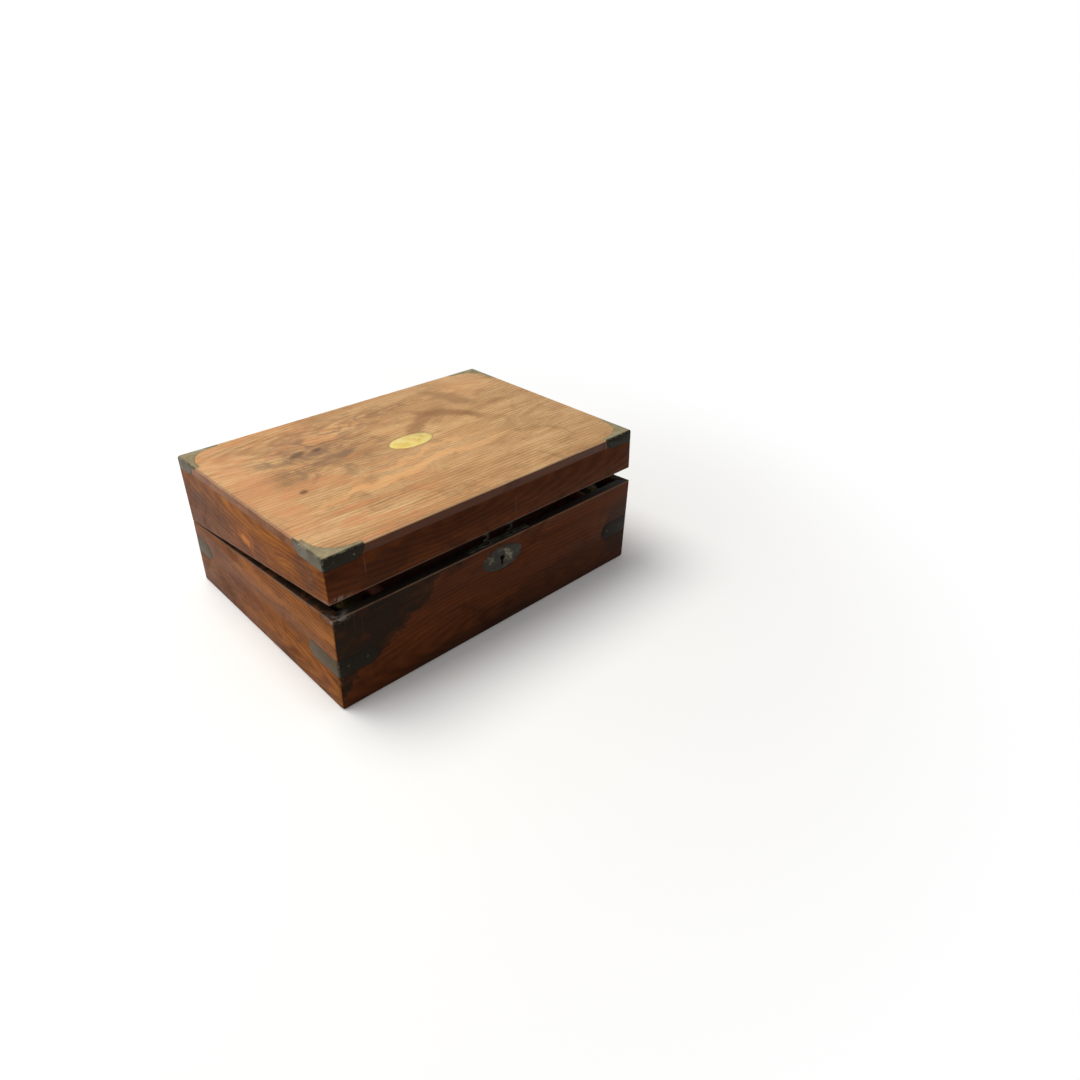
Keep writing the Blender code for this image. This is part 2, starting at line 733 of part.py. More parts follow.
def make_link_plate():
    """Link plate in the lid's edge, with the two notched hooks that enter the lock."""
    front = LOCK_FRONT + SEAT_GAP
    inside = LOCK_INSIDE - SEAT_GAP
    outline = []
    for depth in (PARTING_GAP, PARTING_GAP + LINK_PLATE):
        outline.append((front, below_rim(front, -depth)))
        outline.append((inside, below_rim(inside, -depth)))
    plate = prism(
        "link_plate", [outline[0], outline[1], outline[3], outline[2]], "X",
        -LINK_LENGTH / 2, LINK_LENGTH / 2)
    for side in (-1, 1):
        centre = side * HOOK_SPREAD / 2
        edge = centre - HOOK_WIDTH / 2
        join(plate, box(
            "hook", (edge, HOOK_Y - HOOK_THICK / 2, HOOK_FOOT),
            (edge + HOOK_WIDTH, HOOK_Y + HOOK_THICK / 2, below_rim(HOOK_Y, -PARTING_GAP - LINK_PLATE / 2))))
    for side in (-1, 1):
        edge = side * HOOK_SPREAD / 2 - HOOK_WIDTH / 2
        cut(plate, box(
            "hook_notch", (edge - OVERRUN, HOOK_Y - HOOK_THICK, NOTCH_LOW),
            (edge + NOTCH_DEPTH, HOOK_Y + HOOK_THICK, NOTCH_LOW + NOTCH_HEIGHT)))
    return wear(plate, "old_brass")


def make_compartment():
    """Partition, dividers with ledges, ink floors and pen tray along the lock side."""
    floor = BOTTOM_BOARD + SEAT_GAP
    near = PARTITION_Y
    far = PARTITION_Y + DIVIDER
    partition = prism("base_partition", [
        (near, floor), (far, floor), (far, below_rim(far, FLAP_DEPTH)), (near, below_rim(near, FLAP_DEPTH))],
        "X", -INNER_X + SEAT_GAP, INNER_X - SEAT_GAP)
    wear(partition, "mahogany")
    back = -INNER_Y + SEAT_GAP
    front = near - SEAT_GAP
    for side, name in ((-1, "left"), (1, "right")):
        ends = sorted((side * WELL_X, side * (WELL_X - DIVIDER)))
        divider = prism("ink_divider_" + name, [
            (back, floor), (front, floor), (front, below_rim(front, FLAP_DEPTH)),
            (back, below_rim(back, FLAP_DEPTH))], "X", *ends)
        ledge = sorted((side * (WELL_X - DIVIDER / 2), side * (WELL_X - DIVIDER - TRAY_LEDGE)))
        join(divider, box(
            "tray_ledge", (ledge[0], back, floor + TRAY_SEAT - TRAY_LEDGE), (ledge[1], front, floor + TRAY_SEAT)))
        wear(divider, "mahogany")
        well = sorted((side * (WELL_X + SEAT_GAP), side * (INNER_X - SEAT_GAP)))
        wear(box("ink_floor_" + name, (well[0], back, floor), (well[1], front, floor + INK_FLOOR)), "mahogany")
    low = floor + TRAY_SEAT + SEAT_GAP
    half_tray = WELL_X - DIVIDER - SEAT_GAP
    tray = box("pen_tray", (-half_tray, back, low), (half_tray, front, low + TRAY_HEIGHT))
    cut(tray, trough((back + front) / 2, low + TRAY_HEIGHT))
    wear(tray, "mahogany")


def trough(y, z):
    """Long round-ended hollow for pens, as half a stretched ball."""
    bm = bmesh.new()
    bmesh.ops.create_uvsphere(bm, u_segments=24, v_segments=12, radius=1)
    bmesh.ops.rotate(bm, verts=bm.verts[:], matrix=Matrix.Rotation(math.pi / 2, 3, "Y"))
    radius = TROUGH_WIDTH / 2
    stretch = Matrix.Diagonal((radius, radius, TROUGH_DEPTH, 1))
    bmesh.ops.transform(bm, matrix=stretch, verts=bm.verts[:])
    middle = [vert for vert in bm.verts if abs(vert.co.x) < SEAT_GAP / 10]
    half = TROUGH_LENGTH / 2 - radius
    bmesh.ops.split_edges(bm, edges=[
        edge for edge in bm.edges if edge.verts[0] in middle and edge.verts[1] in middle])
    for face_set, side in (([f for f in bm.faces if f.calc_center_median().x > 0], 1),
                           ([f for f in bm.faces if f.calc_center_median().x < 0], -1)):
        verts = {vert for face in face_set for vert in face.verts}
        bmesh.ops.translate(bm, verts=list(verts), vec=(side * half, 0, 0))
    open_edges = [edge for edge in bm.edges if edge.is_boundary]
    bmesh.ops.bridge_loops(bm, edges=open_edges)
    bmesh.ops.translate(bm, verts=bm.verts[:], vec=(0, y, z))
    return tool("pen_trough", mesh_from(bm, "pen_trough"))


def turned(name, profile, steps):
    """Solid turned about Z from a profile of radius and height, from its top to its foot."""
    mesh = bpy.data.meshes.new(name)
    mesh.from_pydata([(radius, 0, height) for radius, height in profile],
                     [(index, index + 1) for index in range(len(profile) - 1)], [])
    shape = tool(name, mesh)
    screw = shape.modifiers.new("turning", "SCREW")
    screw.steps = steps
    screw.render_steps = steps
    screw.use_merge_vertices = True
    screw.merge_threshold = PIN_GAP / 10
    return settled(shape)


def make_bottles():
    """Square ink bottles with round necks, and their domed screw caps."""
    foot = BOTTOM_BOARD + 2 * SEAT_GAP + INK_FLOOR
    shoulder = BOTTLE_BODY + SHOULDER
    half = BOTTLE_SIDE / 2
    body = box("bottle", (-half, -half, 0), (half, half, BOTTLE_BODY))
    round_edges(body, BOTTLE_ROUND, 3)
    join(body, turned("bottle_neck", [
        (0, shoulder + NECK), (NECK_RADIUS, shoulder + NECK), (NECK_RADIUS, shoulder),
        (SHOULDER_RADIUS, BOTTLE_BODY - SEAT_GAP), (SHOULDER_RADIUS, BOTTLE_BODY - BOTTLE_ROUND),
        (0, BOTTLE_BODY - BOTTLE_ROUND)], 24))
    body = settled(body)
    cap_low = shoulder + 2 * SEAT_GAP
    inside = NECK_RADIUS + SEAT_GAP
    profile = []
    for step in range(QUARTER_STEPS // 2 + 1):
        turn = math.pi / 2 * step / (QUARTER_STEPS // 2)
        profile.append((CAP_RADIUS * math.sin(turn), cap_low + CAP_HEIGHT - CAP_DOME * (1 - math.cos(turn))))
    profile += [
        (CAP_RADIUS, cap_low), (inside, cap_low), (inside, shoulder + NECK + SEAT_GAP),
        (0, shoulder + NECK + SEAT_GAP)]
    cap = turned("cap", profile, 24)
    centre_y = -INNER_Y + INK_WELL / 2
    for side, name in ((-1, "left"), (1, "right")):
        centre = (side * (WELL_X + INK_WELL / 2), centre_y, foot)
        wear(place(copy_of(body, "ink_bottle_" + name), "ink_bottle_" + name, centre, 0), "glass")
        wear(place(copy_of(cap, "ink_cap_" + name), "ink_cap_" + name, centre, 0), "old_brass")


def make_main_hinges(lid_pieces):
    """Two butt hinges on the back edges: base leaf, lid leaf and pin each."""
    base_leaf = hinge_leaf("base_leaf", MAIN_HINGE, 0, -1, -PARTING_GAP - HINGE_LEAF, -PARTING_GAP, True)
    lid_leaf = hinge_leaf("lid_leaf", MAIN_HINGE, 1, -1, PARTING_GAP, PARTING_GAP + HINGE_LEAF, True)
    half = HINGE_WIDTH / 2
    pin = rod("hinge_pin", HINGE_PIN, (-half, 0, 0), (half, 0, 0), HINGE_SIDES)
    for side, name in ((-1, "left"), (1, "right")):
        centre = (side * HINGE_X, HINGE_Y, HINGE_Z)
        for shape, part in ((base_leaf, "base_leaf"), (lid_leaf, "lid_leaf"), (pin, "pin")):
            node = "hinge_" + part + "_" + name
            piece = wear(place(copy_of(shape, node), node, centre, -TILT), "old_brass")
            if part == "lid_leaf":
                lid_pieces.append(piece)


def make_lid(lid_pieces):
    """Carcase of the lid: top board, four walls, corner caps and oval plate."""
    rim_gap = PARTING_GAP / math.cos(TILT)
    block = carcase_block("lid_block", [
        (HALF_DEPTH, HINGE_Z + rim_gap), (HALF_DEPTH, HEIGHT), (-HALF_DEPTH, HEIGHT),
        (-HALF_DEPTH, RIM_FRONT + rim_gap)])
    under_top = HEIGHT - TOP_BOARD
    boards = walls("lid", block, HINGE_Z - OVERRUN, under_top - GLUE_GAP)
    far = HALF_LENGTH + OVERRUN
    top = keep_inside(tool("lid_top_board", block.data), box(
        "top_slab", (-far, -far, under_top), (far, far, HEIGHT + OVERRUN)))
    wear(top, "walnut")
    boards["top"] = top
    for side, name in ((-1, "left"), (1, "right")):
        cut(boards["back"], *hinge_rooms(
            "lid_hinge_room_" + name, HINGE_WIDTH, HINGE_REACH, HINGE_BARREL,
            HINGE_LEAF + PARTING_GAP, (side * HINGE_X, HINGE_Y, HINGE_Z), -TILT))
    for name, side_x, side_y in CORNERS:
        cap = wrapped(cap_plates("lid_corner_" + name, side_x, side_y, 0), block)
        lid_pieces.append(wear(cap, "old_brass"))
        recess = cap_plates("corner_recess_" + name, side_x, side_y, INLAY_GAP)
        cut(boards["front" if side_y < 0 else "back"], *recess)
        cut(boards["left" if side_x < 0 else "right"], *recess)
        cut(top, *recess)
    half_oval = (OVAL_LENGTH / 2, OVAL_WIDTH / 2)
    centre = (0, OVAL_BACKWARD)
    cut(top, prism("oval_room", oval(centre, *half_oval, OVAL_POWER, INLAY_GAP), "Z",
                   HEIGHT - OVAL_PLATE - INLAY_GAP, HEIGHT + OVERRUN))
    plate = prism("lid_oval_plate", oval(centre, *half_oval, OVAL_POWER, 0), "Z", HEIGHT - OVAL_PLATE, HEIGHT)
    lid_pieces.append(wear(plate, "bright_brass"))
    under = PARTING_GAP + LINK_PLATE + INLAY_GAP
    front = LOCK_FRONT
    inside = LOCK_INSIDE - SEAT_GAP + INLAY_GAP
    cut(boards["front"], prism("link_room", [
        (front, HINGE_Z), (inside, HINGE_Z), (inside, below_rim(inside, -under)),
        (front, below_rim(front, -under))], "X", -LINK_LENGTH / 2 - INLAY_GAP, LINK_LENGTH / 2 + INLAY_GAP))
    lid_pieces.extend(boards.values())
    lid_pieces.append(make_link_plate())


def make_flap(prefix, holder, up, length):
    """Writing flap in its own frame: axis along X, free edge towards -Y, wood on the up side."""
    half = INNER_X - EDGE_GAP
    lows = sorted((0, up * FLAP_BOARD))
    board = box(prefix + "_flap_board", (-half, -length, lows[0]), (half, -SEAT_GAP, lows[1]))
    skin_z = sorted((0, up * LEATHER))
    room_z = sorted((-up * OVERRUN, up * (LEATHER + INLAY_GAP)))
    inset = FLAP_BORDER
    edge = INLAY_GAP
    cut(
        board,
        box(prefix + "_leather_room", (-half + inset - edge, -length + inset - edge, room_z[0]),
            (half - inset + edge, -inset + edge, room_z[1])),
        rod(prefix + "_finger_notch", FINGER_RADIUS, (0, -length, -OVERRUN - FLAP_BOARD),
            (0, -length, OVERRUN + FLAP_BOARD), 2 * HINGE_SIDES))
    skin = box(
        prefix + "_flap_leather", (-half + inset, -length + inset, skin_z[0]), (half - inset, -inset, skin_z[1]))
    pieces = [wear(board, "mahogany"), wear(skin, "leather")]
    leaf_z = sorted((0, up * FLAP_HINGE_LEAF))
    moving = hinge_leaf(prefix + "_moving", FLAP_HINGE, 1, -1, *leaf_z, True)
    fixed = hinge_leaf(prefix + "_fixed", FLAP_HINGE, 0, 1, *leaf_z, False)
    fixed_leaves = []
    for side, name in ((-1, "left"), (1, "right")):
        cut(board, *hinge_rooms(
            prefix + "_flap_room_" + name, FLAP_HINGE_WIDTH, FLAP_HINGE_REACH, FLAP_HINGE_BARREL,
            FLAP_HINGE_LEAF, (side * FLAP_HINGE_X, 0, 0), 0))
        node = prefix + "_flap_moving_leaf_" + name
        pieces.append(wear(place(copy_of(moving, node), node, (side * FLAP_HINGE_X, 0, 0), 0), "old_brass"))
        node = prefix + "_flap_fixed_leaf_" + name
        fixed_leaves.append(
            wear(place(copy_of(fixed, node), node, (side * FLAP_HINGE_X, 0, 0), 0), "old_brass"))
    for piece in pieces:
        piece.parent = holder
    return fixed_leaves


def make_flap_frame(prefix, holder, up, front_reach):
    """Rail that the flap hangs on and the two bearers under it, in the flap's frame."""
    half = INNER_X - SEAT_GAP
    lean = math.tan(TILT)
    to_back = (INNER_Y - SEAT_GAP - FLAP_AXIS_Y) / math.cos(TILT)
    rail_end = to_back - (FLAP_BOARD * lean if up > 0 else 0)
    rail_z = sorted((0, up * FLAP_BOARD))
    rail = box(prefix + "_flap_rail", (-half, SEAT_GAP, rail_z[0]), (half, rail_end, rail_z[1]))
    for side, name in ((-1, "left"), (1, "right")):
        cut(rail, *hinge_rooms(
            prefix + "_rail_room_" + name, FLAP_HINGE_WIDTH, FLAP_HINGE_REACH, FLAP_HINGE_BARREL,
            FLAP_HINGE_LEAF, (side * FLAP_HINGE_X, 0, 0), 0))
    pieces = [wear(rail, "mahogany")]
    top = FLAP_BOARD + SEAT_GAP
    bearer_z = sorted((up * top, up * (top + BEARER_HEIGHT)))
    lost = (top + BEARER_HEIGHT) * lean
    near = -front_reach + (lost if up < 0 else 0)
    far = to_back - (lost if up > 0 else 0)
    for side, name in ((-1, "left"), (1, "right")):
        bearer_x = sorted((side * half, side * (half - BEARER_WIDTH)))
        pieces.append(wear(box(
            prefix + "_flap_bearer_" + name, (bearer_x[0], near, bearer_z[0]),
            (bearer_x[1], far, bearer_z[1])), "mahogany"))
    for piece in pieces:
        piece.parent = holder


def make_flaps(lid_holder):
    """Both flaps, each on its own axis beside the middle of the open desk."""
    lean = math.tan(TILT)
    base_frame = pivot("base_flap_frame", BASE_FLAP_AXIS, -TILT)
    base_turn = pivot("base_flap_pivot", BASE_FLAP_AXIS, -TILT - FLAP_RATIO * AJAR)
    base_reach = (FLAP_AXIS_Y - PARTITION_Y - DIVIDER - SEAT_GAP) / math.cos(TILT)
    base_length = base_reach - FLAP_BOARD * lean - SEAT_GAP
    for leaf in make_flap("base", base_turn, -1, base_length):
        leaf.parent = base_frame
    make_flap_frame("base", base_frame, -1, base_reach)

    lid_frame = pivot("lid_flap_frame", LID_FLAP_AXIS - MAIN_AXIS, -TILT)
    lid_turn = pivot("lid_flap_pivot", LID_FLAP_AXIS - MAIN_AXIS, -TILT + FLAP_RATIO * AJAR)
    lid_frame.parent = lid_holder
    lid_turn.parent = lid_holder
    lid_reach = (FLAP_AXIS_Y + INNER_Y - SEAT_GAP) / math.cos(TILT)
    for leaf in make_flap("lid", lid_turn, 1, lid_reach - SEAT_GAP):
        leaf.parent = lid_frame
    make_flap_frame("lid", lid_frame, 1, lid_reach)


def build():
    make_base()
    make_escutcheon()
    make_lock()
    make_bolt()
    make_compartment()
    make_bottles()
    lid_pieces = []
    make_main_hinges(lid_pieces)
    make_lid(lid_pieces)
    lid_holder = pivot("lid_pivot", MAIN_AXIS, -AJAR)
    for piece in lid_pieces:
        piece.parent = lid_holder
        piece.matrix_parent_inverse = Matrix.Translation(-MAIN_AXIS)
    make_flaps(lid_holder)


build()
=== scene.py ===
"""Looks of the writing slope: wood, brass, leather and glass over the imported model."""

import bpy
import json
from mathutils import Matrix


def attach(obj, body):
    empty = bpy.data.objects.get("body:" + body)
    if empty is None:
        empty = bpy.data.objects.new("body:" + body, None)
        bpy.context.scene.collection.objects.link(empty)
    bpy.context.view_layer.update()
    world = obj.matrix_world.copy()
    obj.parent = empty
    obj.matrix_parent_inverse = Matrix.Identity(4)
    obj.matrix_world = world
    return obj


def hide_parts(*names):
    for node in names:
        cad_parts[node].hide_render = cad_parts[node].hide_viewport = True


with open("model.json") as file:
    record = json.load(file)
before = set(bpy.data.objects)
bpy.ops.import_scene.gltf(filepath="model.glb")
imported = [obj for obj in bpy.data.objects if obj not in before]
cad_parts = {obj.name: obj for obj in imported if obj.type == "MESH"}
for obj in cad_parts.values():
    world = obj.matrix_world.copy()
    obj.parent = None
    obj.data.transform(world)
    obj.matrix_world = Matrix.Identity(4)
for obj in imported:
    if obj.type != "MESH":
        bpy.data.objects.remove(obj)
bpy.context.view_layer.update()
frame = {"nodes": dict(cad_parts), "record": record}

import json
import math

import bmesh
import bpy
from mathutils import Matrix, Vector

BODY_OF = {
    node: body for body, nodes in frame["record"]["behaviour"]["bodies"].items() for node in nodes}

# The box with its lid shut, in metres
LENGTH = 0.350
DEPTH = 0.250
HEIGHT = 0.137
WALL = 0.010
RIM_FRONT = 0.095
HINGE_Z = HEIGHT / 2
HALF_LENGTH = LENGTH / 2
HALF_DEPTH = DEPTH / 2
SLOPE = (RIM_FRONT - HINGE_Z) / DEPTH
TILT = math.atan(SLOPE)
AJAR = math.radians(3.2)
FLAP_TURN = 0.4 * AJAR
MAIN_AXIS = Vector((0, 0.1253, HINGE_Z))
BASE_FLAP_AXIS = Vector((0, 0.103423, 0.069178))
LID_FLAP_AXIS = Vector((0, 0.103674, 0.073611))


# Values over a surface
class Field:
    """A number that varies over a surface: the output of a shader node."""

    def __init__(self, tree, socket):
        self.tree = tree
        self.socket = socket

    def reckon(self, operation, *others, clamp=False):
        node = self.tree.nodes.new("ShaderNodeMath")
        node.operation = operation
        node.use_clamp = clamp
        for index, value in enumerate((self, *others)):
            if isinstance(value, Field):
                self.tree.links.new(value.socket, node.inputs[index])
            else:
                node.inputs[index].default_value = value
        return Field(self.tree, node.outputs[0])

    def __add__(self, other):
        return self.reckon("ADD", other)

    def __sub__(self, other):
        return self.reckon("SUBTRACT", other)

    def __mul__(self, other):
        return self.reckon("MULTIPLY", other)

    __radd__ = __add__
    __rmul__ = __mul__

    def from_(self, value):
        """value minus this field."""
        return self.reckon("MULTIPLY", -1).reckon("ADD", value)

    def size(self):
        return self.reckon("ABSOLUTE")

    def smaller(self, other):
        return self.reckon("MINIMUM", other)

    def larger(self, other):
        return self.reckon("MAXIMUM", other)

    def power(self, exponent):
        return self.reckon("POWER", exponent)

    def between(self, low, high, to_low=0.0, to_high=1.0):
        """Eases from one value to another as the field goes from low to high."""
        node = self.tree.nodes.new("ShaderNodeMapRange")
        node.interpolation_type = "SMOOTHSTEP"
        if low > high:
            low, high, to_low, to_high = high, low, to_high, to_low
        limits = {"From Min": low, "From Max": high, "To Min": to_low, "To Max": to_high}
        for name, value in limits.items():
            node.inputs[name].default_value = value
        self.tree.links.new(self.socket, node.inputs["Value"])
        return Field(self.tree, node.outputs["Result"])


class Finish:
    """One material, painted layer by layer."""

    def __init__(self, name, metallic=0.0, turn=0.0, centre=(0, 0, 0)):
        self.material = bpy.data.materials.new(name)
        self.material.use_nodes = True
        self.tree = self.material.node_tree
        self.shader = self.tree.nodes["Principled BSDF"]
        self.shader.inputs["Metallic"].default_value = metallic
        place = self.tree.nodes.new("ShaderNodeTexCoord").outputs["Object"]
        self.point = self.moved(place, turn, centre)
        parts = self.tree.nodes.new("ShaderNodeSeparateXYZ")
        self.tree.links.new(self.point, parts.inputs[0])
        self.x, self.y, self.z = (Field(self.tree, parts.outputs[axis]) for axis in range(3))
        self.colour = None
        self.height = None

    def moved(self, place, turn, centre):
        """Coordinates turned back by an angle about X, measured from a centre."""
        node = self.tree.nodes.new("ShaderNodeMapping")
        back = Matrix.Rotation(-turn, 3, "X")
        node.inputs["Rotation"].default_value = (-turn, 0, 0)
        node.inputs["Location"].default_value = -(back @ Vector(centre))
        self.tree.links.new(place, node.inputs["Vector"])
        return node.outputs["Vector"]

    def stretched(self, scale, shift=(0, 0, 0), turn=(0, 0, 0)):
        node = self.tree.nodes.new("ShaderNodeMapping")
        node.inputs["Scale"].default_value = scale
        node.inputs["Location"].default_value = shift
        node.inputs["Rotation"].default_value = turn
        self.tree.links.new(self.point, node.inputs["Vector"])
        return node.outputs["Vector"]

    def noise(self, scale, detail=3.0, rough=0.5, bend=0.0, shift=(0, 0, 0), turn=(0, 0, 0)):
        """Cloudy pattern, about 0.5 in the mean; scale is in repeats per metre along each axis."""
        node = self.tree.nodes.new("ShaderNodeTexNoise")
        node.inputs["Scale"].default_value = 1
        node.inputs["Detail"].default_value = detail
        node.inputs["Roughness"].default_value = rough
        node.inputs["Distortion"].default_value = bend
        self.tree.links.new(self.stretched(scale, shift, turn), node.inputs["Vector"])
        return Field(self.tree, node.outputs["Fac"])

    def cells(self, scale, feature="F1", shift=(0, 0, 0)):
        node = self.tree.nodes.new("ShaderNodeTexVoronoi")
        node.feature = feature
        node.inputs["Scale"].default_value = 1
        self.tree.links.new(self.stretched(scale, shift), node.inputs["Vector"])
        return Field(self.tree, node.outputs["Distance"])

    def spot(self, across, up, centre, radii, lean=0.0, warp=None):
        """1 in an oval patch and 0 outside it; across and up are fields."""
        u = across - centre[0]
        v = up - centre[1]
        if warp is not None:
            u = u + warp[0]
            v = v + warp[1]
        c, s = math.cos(lean), math.sin(lean)
        along = (u * c + v * s) * (1 / radii[0])
        beside = (v * c - u * s) * (1 / radii[1])
        reach = (along * along + beside * beside).power(0.5)
        return reach.between(1.25, 0.35)

    def base(self, field, *stops):
        """First coat: colours along a ramp that the field picks from."""
        ramp = self.tree.nodes.new("ShaderNodeValToRGB")
        self.tree.links.new(field.socket, ramp.inputs[0])
        points = ramp.color_ramp.elements
        while len(points) < len(stops):
            points.new(0.5)
        for point, (place, colour) in zip(points, stops):
            point.position = place
            point.color = (*linear(colour), 1)
        self.colour = ramp.outputs[0]

    def glaze(self, share, colour, how="MIX"):
        """Lays a colour over what is there, as strongly as share says."""
        node = self.tree.nodes.new("ShaderNodeMix")
        node.data_type = "RGBA"
        node.blend_type = how
        if isinstance(share, Field):
            self.tree.links.new(share.reckon("ADD", 0, clamp=True).socket, node.inputs["Factor"])
        else:
            node.inputs["Factor"].default_value = share
        self.tree.links.new(self.colour, node.inputs["A"])
        node.inputs["B"].default_value = (*linear(colour), 1)
        self.colour = node.outputs["Result"]

    def raise_by(self, field, depth):
        """Adds a field to the relief, depth being metres for a change of 1."""
        layer = field * depth
        self.height = layer if self.height is None else self.height + layer

    def done(self, roughness, coat=0.0, specular=0.5):
        if isinstance(roughness, Field):
            self.tree.links.new(roughness.socket, self.shader.inputs["Roughness"])
        else:
            self.shader.inputs["Roughness"].default_value = roughness
        self.shader.inputs["Specular IOR Level"].default_value = specular
        self.shader.inputs["Coat Weight"].default_value = coat
        self.tree.links.new(self.colour, self.shader.inputs["Base Color"])
        if self.height is not None:
            bump = self.tree.nodes.new("ShaderNodeBump")
            bump.inputs["Strength"].default_value = 1
            bump.inputs["Distance"].default_value = 1
            self.tree.links.new(self.height.socket, bump.inputs["Height"])
            self.tree.links.new(bump.outputs[0], self.shader.inputs["Normal"])
        return self.material


def linear(colour):
    """Colour given as 0 to 255 on screen, as Blender's shaders want it."""
    return [((c / 255 + 0.055) / 1.055) ** 2.4 if c > 10 else c / 255 / 12.92 for c in colour]


IN_PLACE = (0.0, Vector((0, 0, 0)))


def lid_frame():
    """Turn and centre that undo the lid's standing ajar."""
    turn = -AJAR
    return turn, MAIN_AXIS - Matrix.Rotation(turn, 3, "X") @ MAIN_AXIS


def flap_frame(prefix):
    """Turn and centre of a flap as it stands: x along its axis, -y to its free edge."""
    if prefix == "base":
        return -TILT - FLAP_TURN, BASE_FLAP_AXIS
    centre = MAIN_AXIS + Matrix.Rotation(-AJAR, 3, "X") @ (LID_FLAP_AXIS - MAIN_AXIS)
    return -AJAR - TILT + FLAP_TURN, centre


# Wood
def grain_scale(run, along, across, through):
    """Repeats per metre for a board whose grain runs along one axis of the box."""
    scale = [across, across, through]
    scale[run] = along
    return tuple(scale)


def near_edges(finish, width):
    """1 along the outer edges of the box, fading over a width."""
    from_end = finish.x.size().from_(HALF_LENGTH)
    from_face = finish.y.size().from_(HALF_DEPTH)
    from_level = finish.z.smaller(finish.z.from_(HEIGHT))
    least = from_end.smaller(from_face).smaller(from_level)
    most = from_end.larger(from_face).larger(from_level)
    second = from_end + from_face + from_level - least - most
    return second.between(width, 0.0)


RING_STRETCH = 0.16
RING_SPACING = 0.0042
RING_WANDER = 0.012


def growth_lines(finish, run, heart, shift):
    """Growth rings cut by a board's face: ovals stretched along the grain round a heart."""
    along, across = (finish.x, finish.y) if run == 0 else (finish.y, finish.x)
    if heart[2] == "wall":
        across = finish.z
    drift = (finish.noise(grain_scale(run, 9, 26, 26), 3, 0.5, 0.8, shift) - 0.5) * RING_WANDER
    u = (along - heart[0]) * RING_STRETCH
    v = across - heart[1] + drift
    reach = (u * u + v * v).power(0.5)
    return (reach * (math.tau / RING_SPACING)).reckon("SINE") * 0.5 + 0.5


def show_wood(name, run, tones, shift, place, heart, dark=0.0):
    """Old polished wood; run is the axis that the grain follows, heart the middle of its rings."""
    finish = Finish(name, 0.0, *place)
    warp = finish.noise(grain_scale(run, 5, 14, 14), 2, 0.5, 0.6, shift)
    figure = finish.noise(grain_scale(run, 9, 36, 36), 4, 0.55, 1.8, shift)
    streak = finish.noise(grain_scale(run, 5, 420, 420), 3, 0.6, 0.3, shift)
    rings = growth_lines(finish, run, heart, shift)
    fibre = finish.noise(grain_scale(run, 40, 1500, 1500), 2, 0.5, 0.0, shift)
    pores = finish.noise(grain_scale(run, 130, 2600, 2600), 1, 0.5, 0.0, shift).between(0.60, 0.70)
    tone = figure * 0.42 + warp * 0.32 + streak * 0.20 + rings * 0.11 - 0.035
    finish.base(tone, (0.30, tones[0]), (0.46, tones[1]), (0.58, tones[2]), (0.74, tones[3]))
    finish.glaze(fibre.between(0.45, 0.75) * 0.22, tones[0])
    finish.glaze(pores * 0.45, [c * 0.45 for c in tones[0]])
    grime = finish.noise((26, 26, 26), 5, 0.65, 0.8, shift).between(0.50, 0.74)
    finish.glaze(grime * (0.28 + dark), (24, 14, 7))
    return finish, {
        "figure": figure, "streak": streak, "pores": pores, "grime": grime, "fibre": fibre}


def wear_wood(finish, layers, pale, edges=None, gloss=0.04):
    """Bruises, scratches and rubbed edges over a show wood; then its gloss and relief."""
    if edges is not None:
        scuff = finish.noise((60, 60, 60), 6, 0.7, 0.4).between(0.54, 0.68)
        finish.glaze(scuff * edges * 0.6, pale)
    level = finish.noise((14, 900, 700), 1, 0.4, 0.0, (3, 1, 7), (0.3, 0.2, 0.5))
    steep = finish.noise((700, 900, 12), 1, 0.4, 0.0, (1, 5, 2), (0.05, 0.08, 0.3))
    where = finish.noise((9, 9, 9), 2, 0.5, 0.0, (4, 4, 4)).between(0.47, 0.60)
    scratches = (level.between(0.735, 0.80) + steep.between(0.735, 0.80)) * where
    finish.glaze(scratches * 0.35, pale)
    speck = finish.noise((420, 420, 420), 2, 0.6, 0.0, (9, 9, 9)).between(0.76, 0.82)
    finish.glaze(speck * 0.45, [c * 1.15 for c in pale])
    finish.raise_by(layers["fibre"], 0.00003)
    finish.raise_by(layers["pores"], -0.00006)
    finish.raise_by(scratches, -0.00006)
    finish.raise_by(finish.noise((35, 35, 35), 3, 0.5), 0.0004)
    rough = layers["streak"] * 0.12 + layers["grime"] * 0.16 + 0.38
    if edges is not None:
        rough = rough + edges * 0.10
    return finish.done(rough, specular=gloss)


# Putting finishes on
SHARP = math.radians(33)


